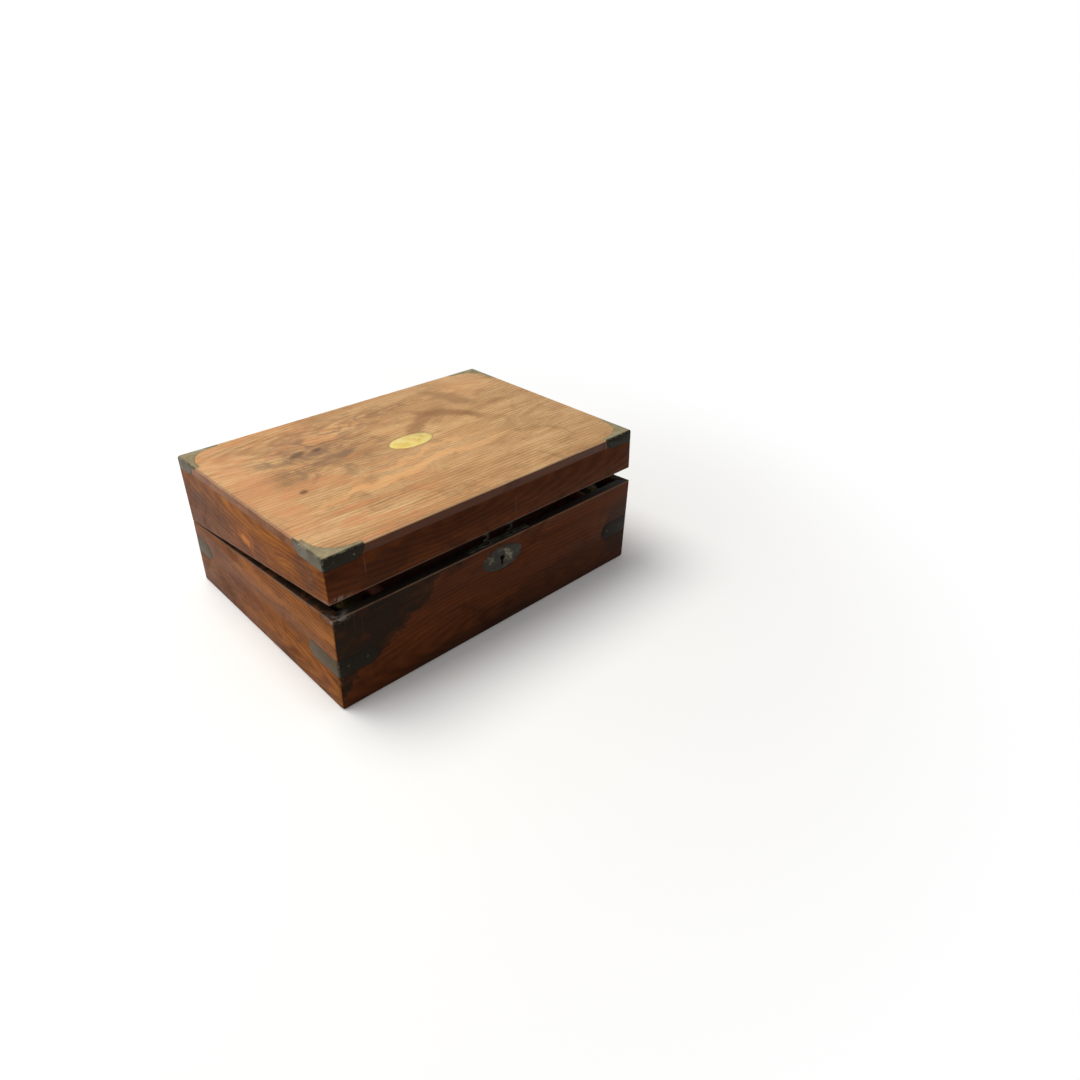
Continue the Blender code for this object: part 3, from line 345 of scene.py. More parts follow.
def dressed(node, material, width=0.00025):
    """Copy of a CAD piece with its edges just broken and its own finish; stands for the node."""
    source = frame["nodes"][node]
    bm = bmesh.new()
    bm.from_mesh(source.data)
    bmesh.ops.remove_doubles(bm, verts=bm.verts[:], dist=0.000004)
    bmesh.ops.dissolve_limit(
        bm, angle_limit=math.radians(0.4), verts=bm.verts[:], edges=bm.edges[:])
    bmesh.ops.recalc_face_normals(bm, faces=bm.faces[:])
    mesh = bpy.data.meshes.new(node + "_shown")
    bm.to_mesh(mesh)
    bm.free()
    piece = bpy.data.objects.new(node + "_shown", mesh)
    bpy.context.scene.collection.objects.link(piece)
    if width:
        bevel = piece.modifiers.new("broken_edges", "BEVEL")
        bevel.width = width
        bevel.segments = 2
        bevel.limit_method = "ANGLE"
        bevel.angle_limit = SHARP
    bpy.context.view_layer.update()
    graph = bpy.context.evaluated_depsgraph_get()
    finished = bpy.data.meshes.new_from_object(piece.evaluated_get(graph))
    piece.modifiers.clear()
    piece.data = finished
    finished.materials.clear()
    finished.materials.append(material)
    for face in finished.polygons:
        face.use_smooth = True
    finished.set_sharp_from_angle(angle=math.radians(32))
    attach(piece, BODY_OF[node])
    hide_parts(node)
    return piece


# Tones of each wood from dark to light, 0 to 255 as on screen
BODY_TONES = ((50, 21, 6), (72, 34, 11), (84, 41, 13), (104, 54, 20))
END_TONES = ((70, 33, 9), (112, 60, 18), (136, 80, 26), (166, 102, 40))
# the top's tones are paler than the walls' partly as painted sheen
TOP_TONES = ((146, 104, 66), (184, 140, 92), (204, 164, 115), (222, 188, 142))
INNER_TONES = ((58, 26, 16), (86, 40, 24), (104, 52, 32), (124, 66, 42))


def warped(finish, scale, amount):
    """Two small shifts that make a patch's outline ragged."""
    return [
        (finish.noise((scale, scale, scale), 5, 0.65, 0.5, shift) - 0.5) * amount
        for shift in ((0, 0, 0), (5, 5, 5))]


def paint_top():
    """The lid's top board: figured walnut, rubbed and stained."""
    heart = (0.050, 0.085, "top")
    finish, layers = show_wood("walnut_top", 0, TOP_TONES, (0.3, 0.1, 0.2), lid_frame(), heart)
    warp = warped(finish, 18, 0.05)
    x, y = finish.x, finish.y

    def stain(centre, radii, lean, share, colour):
        finish.glaze(finish.spot(x, y, centre, radii, lean, warp) * share, colour)

    russet = finish.noise((16, 48, 30), 5, 0.6, 1.2, (6, 1, 2)).between(0.46, 0.62)
    finish.glaze(russet * x.between(0.05, -0.12) * 0.50, (196, 126, 78))
    smoky = finish.noise((30, 44, 30), 5, 0.6, 1.4, (2, 2, 2)).between(0.40, 0.62)
    cloud = finish.spot(x, y, (-0.085, 0.040), (0.075, 0.065), 0.2, warp)
    finish.glaze(cloud * smoky * 0.80, (124, 94, 70))
    cloud = finish.spot(x, y, (-0.020, 0.085), (0.070, 0.028), 0.1, warp)
    finish.glaze(cloud * smoky * 0.65, (132, 98, 68))
    stain((0.030, 0.030), (0.012, 0.052), -0.9, 0.70, (134, 94, 60))
    stain((0.066, 0.036), (0.011, 0.052), 0.75, 0.70, (130, 90, 56))
    stain((0.095, 0.070), (0.012, 0.044), 0.35, 0.60, (136, 98, 62))
    stain((0.060, 0.055), (0.050, 0.030), 0.35, 0.30, (150, 108, 70))
    stain((0.100, -0.030), (0.028, 0.018), 0.3, 0.30, (150, 112, 74))
    stain((-0.040, -0.048), (0.120, 0.007), 0.05, 0.60, (226, 170, 112))
    stain((-0.010, -0.026), (0.090, 0.004), 0.07, 0.50, (222, 166, 108))
    stain((-0.155, 0.0), (0.020, 0.110), 0.0, 0.45, (198, 138, 92))
    stain((0.130, 0.085), (0.040, 0.030), 0.0, 0.40, (214, 160, 108))
    lines = finish.noise(grain_scale(0, 5, 620, 620), 2, 0.5, 0.2, (7, 7, 7)).between(0.40, 0.62)
    finish.glaze(lines * finish.y.between(0.02, -0.03) * 0.22, (150, 106, 66))
    small = [w * 0.25 for w in warp]
    knots = {
        (-0.095, 0.050): (0.011, 0.006),
        (-0.078, 0.047): (0.006, 0.004),
        (-0.128, -0.020): (0.005, 0.004),
    }
    for centre, radii in knots.items():
        finish.glaze(finish.spot(x, y, centre, radii, 0.3, small) * 0.75, (82, 60, 42))
    # the board's edges are as dark as the sides below them, with a pale line between: a painted
    # highlight along the front and left arrises
    below = finish.z.between(HEIGHT - 0.0009, HEIGHT - 0.0017)
    at_end = x.size().between(HALF_LENGTH - 0.0012, HALF_LENGTH - 0.0005)
    dark = layers["figure"].between(0.34, 0.62)
    for where, tones in ((below, BODY_TONES), (below * at_end, END_TONES)):
        finish.glaze(where, tones[1])
        finish.glaze(where * dark * 0.6, tones[2])
        finish.glaze(where * layers["grime"] * 0.4, (28, 16, 9))
    line = finish.z.between(HEIGHT - 0.0012, HEIGHT - 0.0006)
    front_edge = y.between(0.002 - HALF_DEPTH, 0.001 - HALF_DEPTH)
    left_edge = x.between(0.0022 - HALF_LENGTH, 0.001 - HALF_LENGTH)
    # painted highlight: a pale line along the front and left top arrises
    finish.glaze(line * front_edge * 0.55, (186, 155, 118))
    finish.glaze(line * left_edge * 0.60, (112, 88, 80))
    return wear_wood(finish, layers, (208, 186, 152), gloss=0.22)


def burn_corner(finish):
    """Old burn or ink stain: all that lies above a ragged slanting line near the left end."""
    ragged = finish.noise((55, 55, 55), 5, 0.7, 0.6, (3, 3, 3)) - 0.5
    over = finish.z + finish.x * -0.62 + ragged * 0.075 - 0.1265
    cloudy = finish.noise((34, 34, 60), 4, 0.6, 0.6, (8, 8, 8)).between(0.32, 0.58)
    finish.glaze(over.between(-0.003, 0.004) * (cloudy * 0.40 + 0.55), (31, 22, 13))


def blacken_rim(finish, grime, pale):
    """Near-black on the sloping rim and in a band along the seam, painted shade of the gap between
    lid and base; a pale line along the rim's outer edge, a painted highlight; dirt and painted
    shade darker towards the seam.
    """
    from_rim = (finish.z - HINGE_Z - (finish.y.from_(HALF_DEPTH)) * SLOPE).size()
    # painted shade: near-black close to the rim's plane, on the rim and each side of the seam
    finish.glaze(from_rim.between(0.0014, 0.0003) * 0.92, (40, 37, 34))
    outer = finish.x.size().from_(HALF_LENGTH).smaller(finish.y.size().from_(HALF_DEPTH))
    # painted highlight: pale line along the rim's outer edge
    finish.glaze(from_rim.between(0.0016, 0.0004) * outer.between(0.0016, 0.0006) * 0.7, pale)
    # dirt and painted shade: darker towards the seam
    finish.glaze(from_rim.between(0.012, 0.001) * grime * 0.5, (30, 20, 12))
    return from_rim


def paint_wall(name, run, tones, shift, place, heart, stains=(), dark=0.0, pale=(128, 98, 78),
               burnt=False):
    """One side of the box, with its own stains: centre, radii, lean, share and colour of each."""
    finish, layers = show_wood(name, run, tones, shift, place, (*heart, "wall"), dark)
    warp = warped(finish, 46, 0.024)
    across = finish.x if run == 0 else finish.y
    for centre, radii, lean, share, colour in stains:
        patch = finish.spot(across, finish.z, centre, radii, lean, warp).between(0.15, 0.65)
        finish.glaze(patch * share * (layers["figure"].between(0.30, 0.60) * 0.35 + 0.65), colour)
    if burnt:
        burn_corner(finish)
    from_rim = blacken_rim(finish, layers["grime"], pale)
    finish.glaze(finish.z.between(0.012, 0.0) * 0.35, (26, 15, 8))
    if run == 1:
        mottle = finish.noise((90, 60, 130), 5, 0.65, 1.0, shift).between(0.46, 0.70)
        finish.glaze(mottle * 0.28, (166, 98, 42))
        blotch = finish.noise((70, 40, 60), 5, 0.7, 0.8, (4, 4, 8)).between(0.54, 0.68)
        finish.glaze(blotch * 0.30, (70, 50, 42))
        finish.glaze(finish.y.between(0.02, 0.12) * 0.30, (66, 40, 24))
    inner_x, inner_y = HALF_LENGTH - WALL, HALF_DEPTH - WALL
    inside = (
        finish.x.size().between(inner_x + 0.001, inner_x)
        * finish.y.size().between(inner_y + 0.001, inner_y))
    finish.glaze(inside * 0.65, (30, 15, 8))
    # grey wear where the lid has struck the base, at the near left corner
    struck = finish.noise((160, 160, 160), 5, 0.7, 0.4).between(0.44, 0.60)
    at_corner = finish.y.between(-0.108, -0.122) * finish.x.between(-0.150, -0.168)
    finish.glaze(struck * at_corner * from_rim.between(0.0060, 0.0015) * 0.8, (128, 122, 118))
    return wear_wood(finish, layers, pale, near_edges(finish, 0.004))


def paint_walls():
    front = [
        ((0.080, 0.016), (0.120, 0.030), 0.12, 0.45, (34, 18, 9)),
        ((0.168, 0.040), (0.030, 0.040), 0.2, 0.60, (26, 15, 9)),
        ((-0.030, 0.006), (0.090, 0.010), 0.0, 0.45, (30, 16, 8)),
    ]
    lid_front = [
        ((0.02, 0.118), (0.150, 0.012), 0.0, 0.25, (40, 21, 12)),
        ((-0.120, 0.108), (0.030, 0.016), 0.4, 0.35, (34, 20, 12)),
    ]
    left = [
        ((-0.060, 0.050), (0.030, 0.012), 0.3, 0.35, (74, 44, 24)),
        ((0.075, 0.020), (0.030, 0.014), -0.2, 0.35, (70, 42, 24)),
        ((0.0, 0.062), (0.060, 0.006), -0.1, 0.40, (150, 92, 44)),
    ]
    knot = [
        ((0.006, 0.096), (0.008, 0.006), 0.1, 0.75, (204, 124, 44)),
        ((0.006, 0.099), (0.016, 0.012), 0.1, 0.35, (170, 100, 44)),
        ((0.060, 0.105), (0.040, 0.012), 0.1, 0.40, (82, 50, 34)),
        ((-0.095, 0.112), (0.020, 0.014), 0.2, 0.45, (74, 52, 40)),
    ]
    lid = lid_frame()
    low, high = (0.02, 0.020), (-0.05, 0.125)
    return {
        "base_front_board": paint_wall(
            "walnut_base_front", 0, BODY_TONES, (1, 0, 0), IN_PLACE, low, front, 0.12, burnt=True),
        "base_back_board": paint_wall(
            "walnut_base_back", 0, BODY_TONES, (2, 1, 0), IN_PLACE, low),
        "base_left_board": paint_wall(
            "walnut_base_left", 1, END_TONES, (3, 2, 0), IN_PLACE, low, left),
        "base_right_board": paint_wall(
            "walnut_base_right", 1, END_TONES, (4, 3, 0), IN_PLACE, high),
        "lid_front_board": paint_wall(
            "walnut_lid_front", 0, BODY_TONES, (5, 4, 0), lid, high, lid_front, 0.06),
        "lid_back_board": paint_wall("walnut_lid_back", 0, BODY_TONES, (6, 5, 0), lid, high),
        "lid_left_board": paint_wall(
            "walnut_lid_left", 1, END_TONES, (7, 6, 0), lid, high, knot, 0.0, (142, 112, 98)),
        "lid_right_board": paint_wall("walnut_lid_right", 1, END_TONES, (8, 7, 0), lid, high),
    }


def paint_inner(name, run, shift, place, ink=False):
    """Plain mahogany of the inside, dry and a little dusty; ink wells are stained."""
    finish, layers = show_wood(name, run, INNER_TONES, shift, place, (0.0, 0.2, "top"))
    if ink:
        blot = finish.noise((70, 70, 70), 4, 0.6, 1.0, shift)
        finish.glaze(blot.between(0.46, 0.60) * 0.85, (16, 16, 26))
    dust = finish.noise((120, 120, 120), 4, 0.7, 0.0, shift).between(0.45, 0.8)
    finish.glaze(dust * 0.18, (150, 122, 96))
    finish.raise_by(layers["fibre"], 0.00004)
    finish.raise_by(layers["pores"], -0.00006)
    return finish.done(layers["streak"] * 0.15 + 0.48, specular=0.35)


# Metal, leather and glass
def paint_old_brass(name, place, tones, bright, metal):
    """Brass gone olive and brown, rubbed bright in spots."""
    finish, layers = tarnish(name, place, tones, bright, metal)
    rubbed = layers["fine"].between(0.42, 0.62)
    finish.glaze(layers["cloud"].between(0.56, 0.66) * rubbed * 0.7, bright)
    return finish.done(layers["fine"] * 0.30 - rubbed * 0.08 + 0.36, specular=0.3)


def tarnish(name, place, tones, bright, metal):
    """Clouded, pitted and scratched brass, before it is rubbed."""
    finish = Finish(name, metal, *place)
    cloud = finish.noise((90, 90, 90), 5, 0.6, 0.6)
    fine = finish.noise((700, 700, 700), 4, 0.65, 0.2)
    finish.base(cloud * 0.7 + fine * 0.3, (0.36, tones[0]), (0.50, tones[1]), (0.64, tones[2]))
    pits = finish.noise((1500, 1500, 1500), 2, 0.6).between(0.62, 0.75)
    finish.glaze(pits * 0.5, [c * 0.5 for c in tones[0]])
    scratch = finish.noise((1500, 60, 1500), 1, 0.4, 0.0, turn=(0.3, 0.2, 0.9))
    scratch = scratch.between(0.68, 0.78)
    finish.glaze(scratch * 0.35, bright)
    finish.raise_by(fine, 0.00004)
    finish.raise_by(pits, -0.00003)
    finish.raise_by(scratch, -0.00002)
    return finish, {"cloud": cloud, "fine": fine}


def paint_corner_brass(name, place, end_face_shade, long_face_shade, tones, bright):
    """Corner brass, with light and shade painted by face: pale on its upper face, painted shade
    greyer on the ends and nearly black in front and behind.
    """
    finish, layers = tarnish(name, place, tones, bright, 0.35)
    at_end = finish.x.size().between(HALF_LENGTH - 0.0022, HALF_LENGTH - 0.0008)
    at_long = finish.y.size().between(HALF_DEPTH - 0.0022, HALF_DEPTH - 0.0008)
    # painted shade: the ends greyer, the front and back faces nearly black
    finish.glaze(at_end, end_face_shade)
    finish.glaze(at_long, long_face_shade)
    finish.glaze(layers["fine"].between(0.48, 0.62) * 0.30, [c * 0.6 for c in end_face_shade])
    rubbed = layers["fine"].between(0.40, 0.58) * layers["cloud"].between(0.42, 0.58)
    finish.glaze(rubbed * near_edges(finish, 0.0016) * 0.45, bright)
    finish.glaze(rubbed * at_end * 0.12, bright)
    return finish.done(layers["fine"] * 0.30 + 0.36, specular=0.10)


OVAL_MIDDLE = 0.005
OVAL_RADII = (0.0245, 0.014)


def paint_bright_brass(name, place):
    """Polished plate of the lid, with fine scratches and a brown line where polish has dried."""
    finish = Finish(name, 0.4, *place)
    cloud = finish.noise((120, 120, 120), 4, 0.6, 0.3)
    finish.base(cloud, (0.36, (236, 200, 104)), (0.52, (250, 224, 130)), (0.66, (254, 236, 158)))
    u = finish.x * (1 / OVAL_RADII[0])
    v = (finish.y - OVAL_MIDDLE) * (1 / OVAL_RADII[1])
    round_it = (u * u + v * v).power(0.5)
    finish.glaze(round_it.between(0.90, 0.985) * 0.6, (120, 88, 34))
    scratch = finish.noise((60, 1800, 1500), 1, 0.4, 0.0, (1, 2, 3), (0, 0, 0.6))
    scratch = scratch.between(0.66, 0.76)
    finish.glaze(scratch * 0.35, (150, 116, 48))
    finish.raise_by(finish.noise((300, 300, 300), 3, 0.5), 0.00006)
    finish.raise_by(scratch, -0.00002)
    return finish.done(cloud * 0.16 + 0.22)


def paint_steel(name, place):
    finish = Finish(name, 0.9, *place)
    cloud = finish.noise((260, 260, 260), 4, 0.6, 0.3)
    finish.base(cloud, (0.36, (74, 66, 58)), (0.52, (120, 114, 106)), (0.66, (158, 154, 148)))
    rust = finish.noise((420, 420, 420), 5, 0.7, 0.4, (4, 4, 4)).between(0.56, 0.68)
    finish.glaze(rust * 0.7, (96, 52, 28))
    finish.raise_by(rust, 0.00003)
    return finish.done(rust * 0.35 + 0.32)


GILT = (206, 166, 84)
LEATHER_INSET = 0.018
FLAP_PLAY = 0.0006
LEATHER_HALF = HALF_LENGTH - WALL - FLAP_PLAY - LEATHER_INSET


def paint_leather(name, place, length):
    """Green skiver with a gilt border, worn through to brown where arms rest."""
    finish = Finish(name, 0.0, *place)
    pebble = finish.cells((1500, 1500, 1500), "SMOOTH_F1")
    cloud = finish.noise((16, 16, 16), 4, 0.6, 0.5)
    finish.base(cloud, (0.34, (24, 40, 30)), (0.52, (36, 58, 42)), (0.68, (52, 72, 50)))
    worn = finish.noise((38, 38, 38), 5, 0.7, 0.5, (2, 2, 2)).between(0.52, 0.70)
    middle = finish.spot(finish.x, finish.y, (0.01, -length / 2), (0.15, length / 2))
    finish.glaze(worn * middle * 0.65, (98, 82, 52))
    from_side = finish.x.size().from_(LEATHER_HALF)
    from_near = finish.y + (length - LEATHER_INSET)
    from_far = finish.y * -1 - LEATHER_INSET
    inset = from_side.smaller(from_near).smaller(from_far)
    rubbed = finish.noise((220, 220, 220), 4, 0.7).between(0.66, 0.44)
    for centre, half in ((0.0040, 0.00055), (0.0098, 0.0004)):
        line = (inset - centre).size().between(half + 0.0002, half)
        finish.glaze(line * rubbed * 0.9, GILT)
        finish.raise_by(line, -0.00012)
    # a wavy vine with a bead at each turn, between the two lines
    beat = ((finish.x + finish.y) * (math.tau / 0.0068)).reckon("SINE")
    from_middle = inset - 0.0069
    vine = (from_middle - beat * 0.0011).size().between(0.00055, 0.0003)
    bead = beat.size().between(0.86, 0.97) * from_middle.size().between(0.0011, 0.0008)
    finish.glaze((vine + bead) * rubbed * 0.85, GILT)
    finish.raise_by(vine, -0.00008)
    finish.raise_by(pebble, 0.00010)
    finish.raise_by(cloud, 0.0003)
    return finish.done(pebble * 0.15 + 0.42, specular=0.4)


def paint_glass(name):
    """Thick old glass, uneven and a little smeared."""
    finish = Finish(name)
    smear = finish.noise((60, 60, 90), 4, 0.6, 0.4)
    finish.base(smear, (0.35, (150, 168, 172)), (0.55, (196, 210, 208)), (0.7, (222, 232, 228)))
    finish.shader.inputs["Transmission Weight"].default_value = 0.85
    finish.shader.inputs["IOR"].default_value = 1.5
    finish.raise_by(finish.noise((40, 40, 40), 2, 0.5), 0.0005)
    return finish.done(smear * 0.10 + 0.02)


def dress_wood():
    for node, material in paint_walls().items():
        dressed(node, material, 0.0003)
    dressed("lid_top_board", paint_top(), 0.0003)
    plain = paint_inner("mahogany_along", 0, (1, 1, 1), IN_PLACE)
    across = paint_inner("mahogany_across", 1, (2, 2, 2), IN_PLACE)
    inked = paint_inner("mahogany_inked", 1, (3, 3, 3), IN_PLACE, True)
    for node in ("base_bottom_board", "base_partition", "pen_tray", "base_flap_rail"):
        dressed(node, plain)
    for piece in ("ink_divider_", "base_flap_bearer_"):
        for side in ("left", "right"):
            dressed(piece + side, across)
    for side in ("left", "right"):
        dressed("ink_floor_" + side, inked)
    lid_along = paint_inner("mahogany_lid_along", 0, (4, 4, 4), lid_frame())
    lid_across = paint_inner("mahogany_lid_across", 1, (5, 5, 5), lid_frame())
    dressed("lid_flap_rail", lid_along)
    for side in ("left", "right"):
        dressed("lid_flap_bearer_" + side, lid_across)


FLAP_LENGTH = {"base": 0.177, "lid": 0.219}


def dress_flaps():
    for prefix, length in FLAP_LENGTH.items():
        place = flap_frame(prefix)
        board = paint_inner("mahogany_" + prefix + "_flap", 0, (6, 6, 6), place)
        dressed(prefix + "_flap_board", board, 0.0004)
        leather = paint_leather("leather_" + prefix, place, length)
        dressed(prefix + "_flap_leather", leather, 0.0002)


def dress_brass():
    olive = ((124, 112, 84), (150, 138, 106), (170, 158, 128))
    dull = ((84, 74, 52), (104, 94, 68), (124, 114, 88))
    plate_tones = ((22, 18, 12), (38, 32, 23), (70, 64, 52))
    # near-black brass for the fittings inside, darkened partly as painted shade of the gap they
    # are seen through
    brown = ((14, 11, 7), (24, 19, 12), (40, 33, 20))
    grey = ((44, 46, 40), (78, 80, 70), (112, 112, 98))
    pale = (206, 196, 172)
    # the two colours after each frame are painted shade for the ends and for the front and back
    # faces
    caps = paint_corner_brass("brass_caps", lid_frame(), (88, 80, 66), (30, 26, 17), olive, pale)
    straps = paint_corner_brass(
        "brass_straps", IN_PLACE, (78, 64, 44), (25, 20, 12), dull, (132, 120, 96))
    for name in ("front_left", "front_right", "back_left", "back_right"):
        dressed("lid_corner_" + name, caps, 0.0002)
        dressed("base_strap_" + name, straps, 0.0002)
    plate = paint_old_brass("brass_escutcheon", IN_PLACE, plate_tones, (150, 142, 120), 0.4)
    dressed("escutcheon", plate, 0.0001)
    dressed("lid_oval_plate", paint_bright_brass("brass_oval", lid_frame()), 0.0001)
    selvedge = paint_old_brass("brass_lock", IN_PLACE, grey, (150, 148, 128), 0.3)
    dressed("lock_plate", selvedge, 0.0001)
    lock = paint_old_brass("brass_base_fittings", IN_PLACE, brown, (84, 72, 44), 0.6)
    link = paint_old_brass("brass_lid_fittings", lid_frame(), brown, (84, 72, 44), 0.6)
    dressed("lock_case", lock, 0.0001)
    dressed("link_plate", link, 0.0001)
    dressed("lock_bolt", paint_steel("steel_bolt", IN_PLACE), 0.0001)
    for side in ("left", "right"):
        dressed("hinge_base_leaf_" + side, lock, 0.0001)
        dressed("hinge_lid_leaf_" + side, link, 0.0001)
        dressed("hinge_pin_" + side, lock, 0.0001)
        for prefix in ("base", "lid"):
            skin = lock if prefix == "base" else link
            dressed(prefix + "_flap_fixed_leaf_" + side, skin, 0.0)
            dressed(prefix + "_flap_moving_leaf_" + side, skin, 0.0)


def dress_bottles():
    glass = paint_glass("ink_glass")
    cap = paint_old_brass(
        "brass_bottle_cap", IN_PLACE, ((54, 44, 26), (92, 78, 46), (128, 110, 66)),
        (176, 154, 98), 0.8)
    for side in ("left", "right"):
        dressed("ink_bottle_" + side, glass, 0.0003)
        dressed("ink_cap_" + side, cap, 0.0002)


# Screws and pins
def flat_of(node, toward):
    """Flat face of a piece on one side: its middle, outward direction and half sizes."""
    bm = bmesh.new()
    bm.from_mesh(frame["nodes"][node].data)
    toward = Vector(toward)
    facing = [face for face in bm.faces if face.normal.dot(toward) > 0.9]
    widest = max(facing, key=lambda face: face.calc_area())
    out = widest.normal.copy()
    level = widest.verts[0].co.dot(out)
    along = Vector((0, 1, 0)) if abs(toward.x) > 0.5 else Vector((1, 0, 0))
    beside = out.cross(along).normalized()
    points = [
        vert.co.copy() for face in facing if abs(face.verts[0].co.dot(out) - level) < 0.0001
        for vert in face.verts]
    bm.free()
    spans = []
    for axis in (along, beside):
        reach = [point.dot(axis) for point in points]
        spans.append(((min(reach) + max(reach)) / 2, (max(reach) - min(reach)) / 2))
    middle = along * spans[0][0] + beside * spans[1][0] + out * level
    return middle, out, along * spans[0][1], beside * spans[1][1]


def heads_on(node, toward, spots, radius, slotted=True):
    """Places for fastener heads at shares of a flat face's half sizes."""
    middle, out, along, beside = flat_of(node, toward)
    heads = []
    for index, (a, b) in enumerate(spots):
        turn = Matrix.Rotation(0.5 + 1.9 * index + 7 * abs(middle.x), 3, "Z")
        facing = (out.to_track_quat("Z", "Y").to_matrix() @ turn).to_euler()
        heads.append((middle + along * a + beside * b, tuple(facing), radius, slotted))
    return heads


HEAD_VALUES = (("facing", "FLOAT_VECTOR"), ("breadth", "FLOAT"), ("slotted", "BOOLEAN"))


def fastener_tree(material):
    """Geometry Nodes that set a slotted or a plain head, of radius 1, at every point."""
    tree = bpy.data.node_groups.new("fasteners", "GeometryNodeTree")
    tree.interface.new_socket("Geometry", in_out="INPUT", socket_type="NodeSocketGeometry")
    proud = tree.interface.new_socket("Proud", in_out="INPUT", socket_type="NodeSocketFloat")
    gap = tree.interface.new_socket("Slot Width", in_out="INPUT", socket_type="NodeSocketFloat")
    tree.interface.new_socket("Geometry", in_out="OUTPUT", socket_type="NodeSocketGeometry")
    made, joined = tree.nodes.new, tree.links.new
    given = made("NodeGroupInput")
    head = made("GeometryNodeMeshCylinder")
    head.inputs["Vertices"].default_value = 18
    head.inputs["Radius"].default_value = 1
    head.inputs["Depth"].default_value = 0.5
    sink = made("ShaderNodeMath")
    sink.operation = "SUBTRACT"
    joined(given.outputs["Proud"], sink.inputs[0])
    sink.inputs[1].default_value = 0.25
    low = made("ShaderNodeCombineXYZ")
    joined(sink.outputs[0], low.inputs["Z"])
    seated = made("GeometryNodeTransform")
    joined(head.outputs["Mesh"], seated.inputs["Geometry"])
    joined(low.outputs[0], seated.inputs["Translation"])
    room = made("ShaderNodeCombineXYZ")
    room.inputs["X"].default_value = 2.4
    joined(given.outputs["Slot Width"], room.inputs["Y"])
    room.inputs["Z"].default_value = 0.36
    blade = made("GeometryNodeMeshCube")
    joined(room.outputs[0], blade.inputs["Size"])
    high = made("ShaderNodeCombineXYZ")
    joined(given.outputs["Proud"], high.inputs["Z"])
    lifted = made("GeometryNodeTransform")
    joined(blade.outputs["Mesh"], lifted.inputs["Geometry"])
    joined(high.outputs[0], lifted.inputs["Translation"])
    cut = made("GeometryNodeMeshBoolean")
    cut.operation = "DIFFERENCE"
    joined(seated.outputs[0], cut.inputs["Mesh 1"])
    joined(lifted.outputs[0], cut.inputs["Mesh 2"])
    values = {}
    for name, kind in HEAD_VALUES:
        node = made("GeometryNodeInputNamedAttribute")
        node.data_type = kind
        node.inputs["Name"].default_value = name
        values[name] = node.outputs["Attribute"]
    turned = made("FunctionNodeEulerToRotation")
    joined(values["facing"], turned.inputs[0])
    plain = made("FunctionNodeBooleanMath")
    plain.operation = "NOT"
    joined(values["slotted"], plain.inputs[0])
    both = made("GeometryNodeJoinGeometry")
    kinds = ((cut.outputs[0], values["slotted"]), (seated.outputs[0], plain.outputs[0]))
    for shape, chosen in kinds:
        placed = made("GeometryNodeInstanceOnPoints")
        joined(given.outputs["Geometry"], placed.inputs["Points"])
        joined(shape, placed.inputs["Instance"])
        joined(chosen, placed.inputs["Selection"])
        joined(turned.outputs[0], placed.inputs["Rotation"])
        joined(values["breadth"], placed.inputs["Scale"])
        joined(placed.outputs[0], both.inputs[0])
    real = made("GeometryNodeRealizeInstances")
    joined(both.outputs[0], real.inputs[0])
    painted = made("GeometryNodeSetMaterial")
    painted.inputs["Material"].default_value = material
    joined(real.outputs[0], painted.inputs["Geometry"])
    joined(painted.outputs[0], made("NodeGroupOutput").inputs[0])
    return tree, proud.identifier, gap.identifier


def fasten(body, heads, fastener):
    """All fastener heads of one body, as one plain mesh."""
    mesh = bpy.data.meshes.new(body + "_heads")
    mesh.from_pydata([tuple(head[0]) for head in heads], [], [])
    for index, (name, kind) in enumerate(HEAD_VALUES, start=1):
        values = mesh.attributes.new(name, kind, "POINT")
        key = "vector" if kind == "FLOAT_VECTOR" else "value"
        for number, head in enumerate(heads):
            setattr(values.data[number], key, head[index])
    piece = bpy.data.objects.new(body + "_heads", mesh)
    bpy.context.scene.collection.objects.link(piece)
    tree, proud, gap = fastener
    modifier = piece.modifiers.new("fasteners", "NODES")
    modifier.node_group = tree
    modifier[proud] = 0.05
    modifier[gap] = 0.26
    bpy.context.view_layer.update()
    graph = bpy.context.evaluated_depsgraph_get()
    finished = bpy.data.meshes.new_from_object(piece.evaluated_get(graph))
    piece.modifiers.clear()
    piece.data = finished
    for name, _ in HEAD_VALUES:
        if name in finished.attributes:
            finished.attributes.remove(finished.attributes[name])
    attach(piece, body)


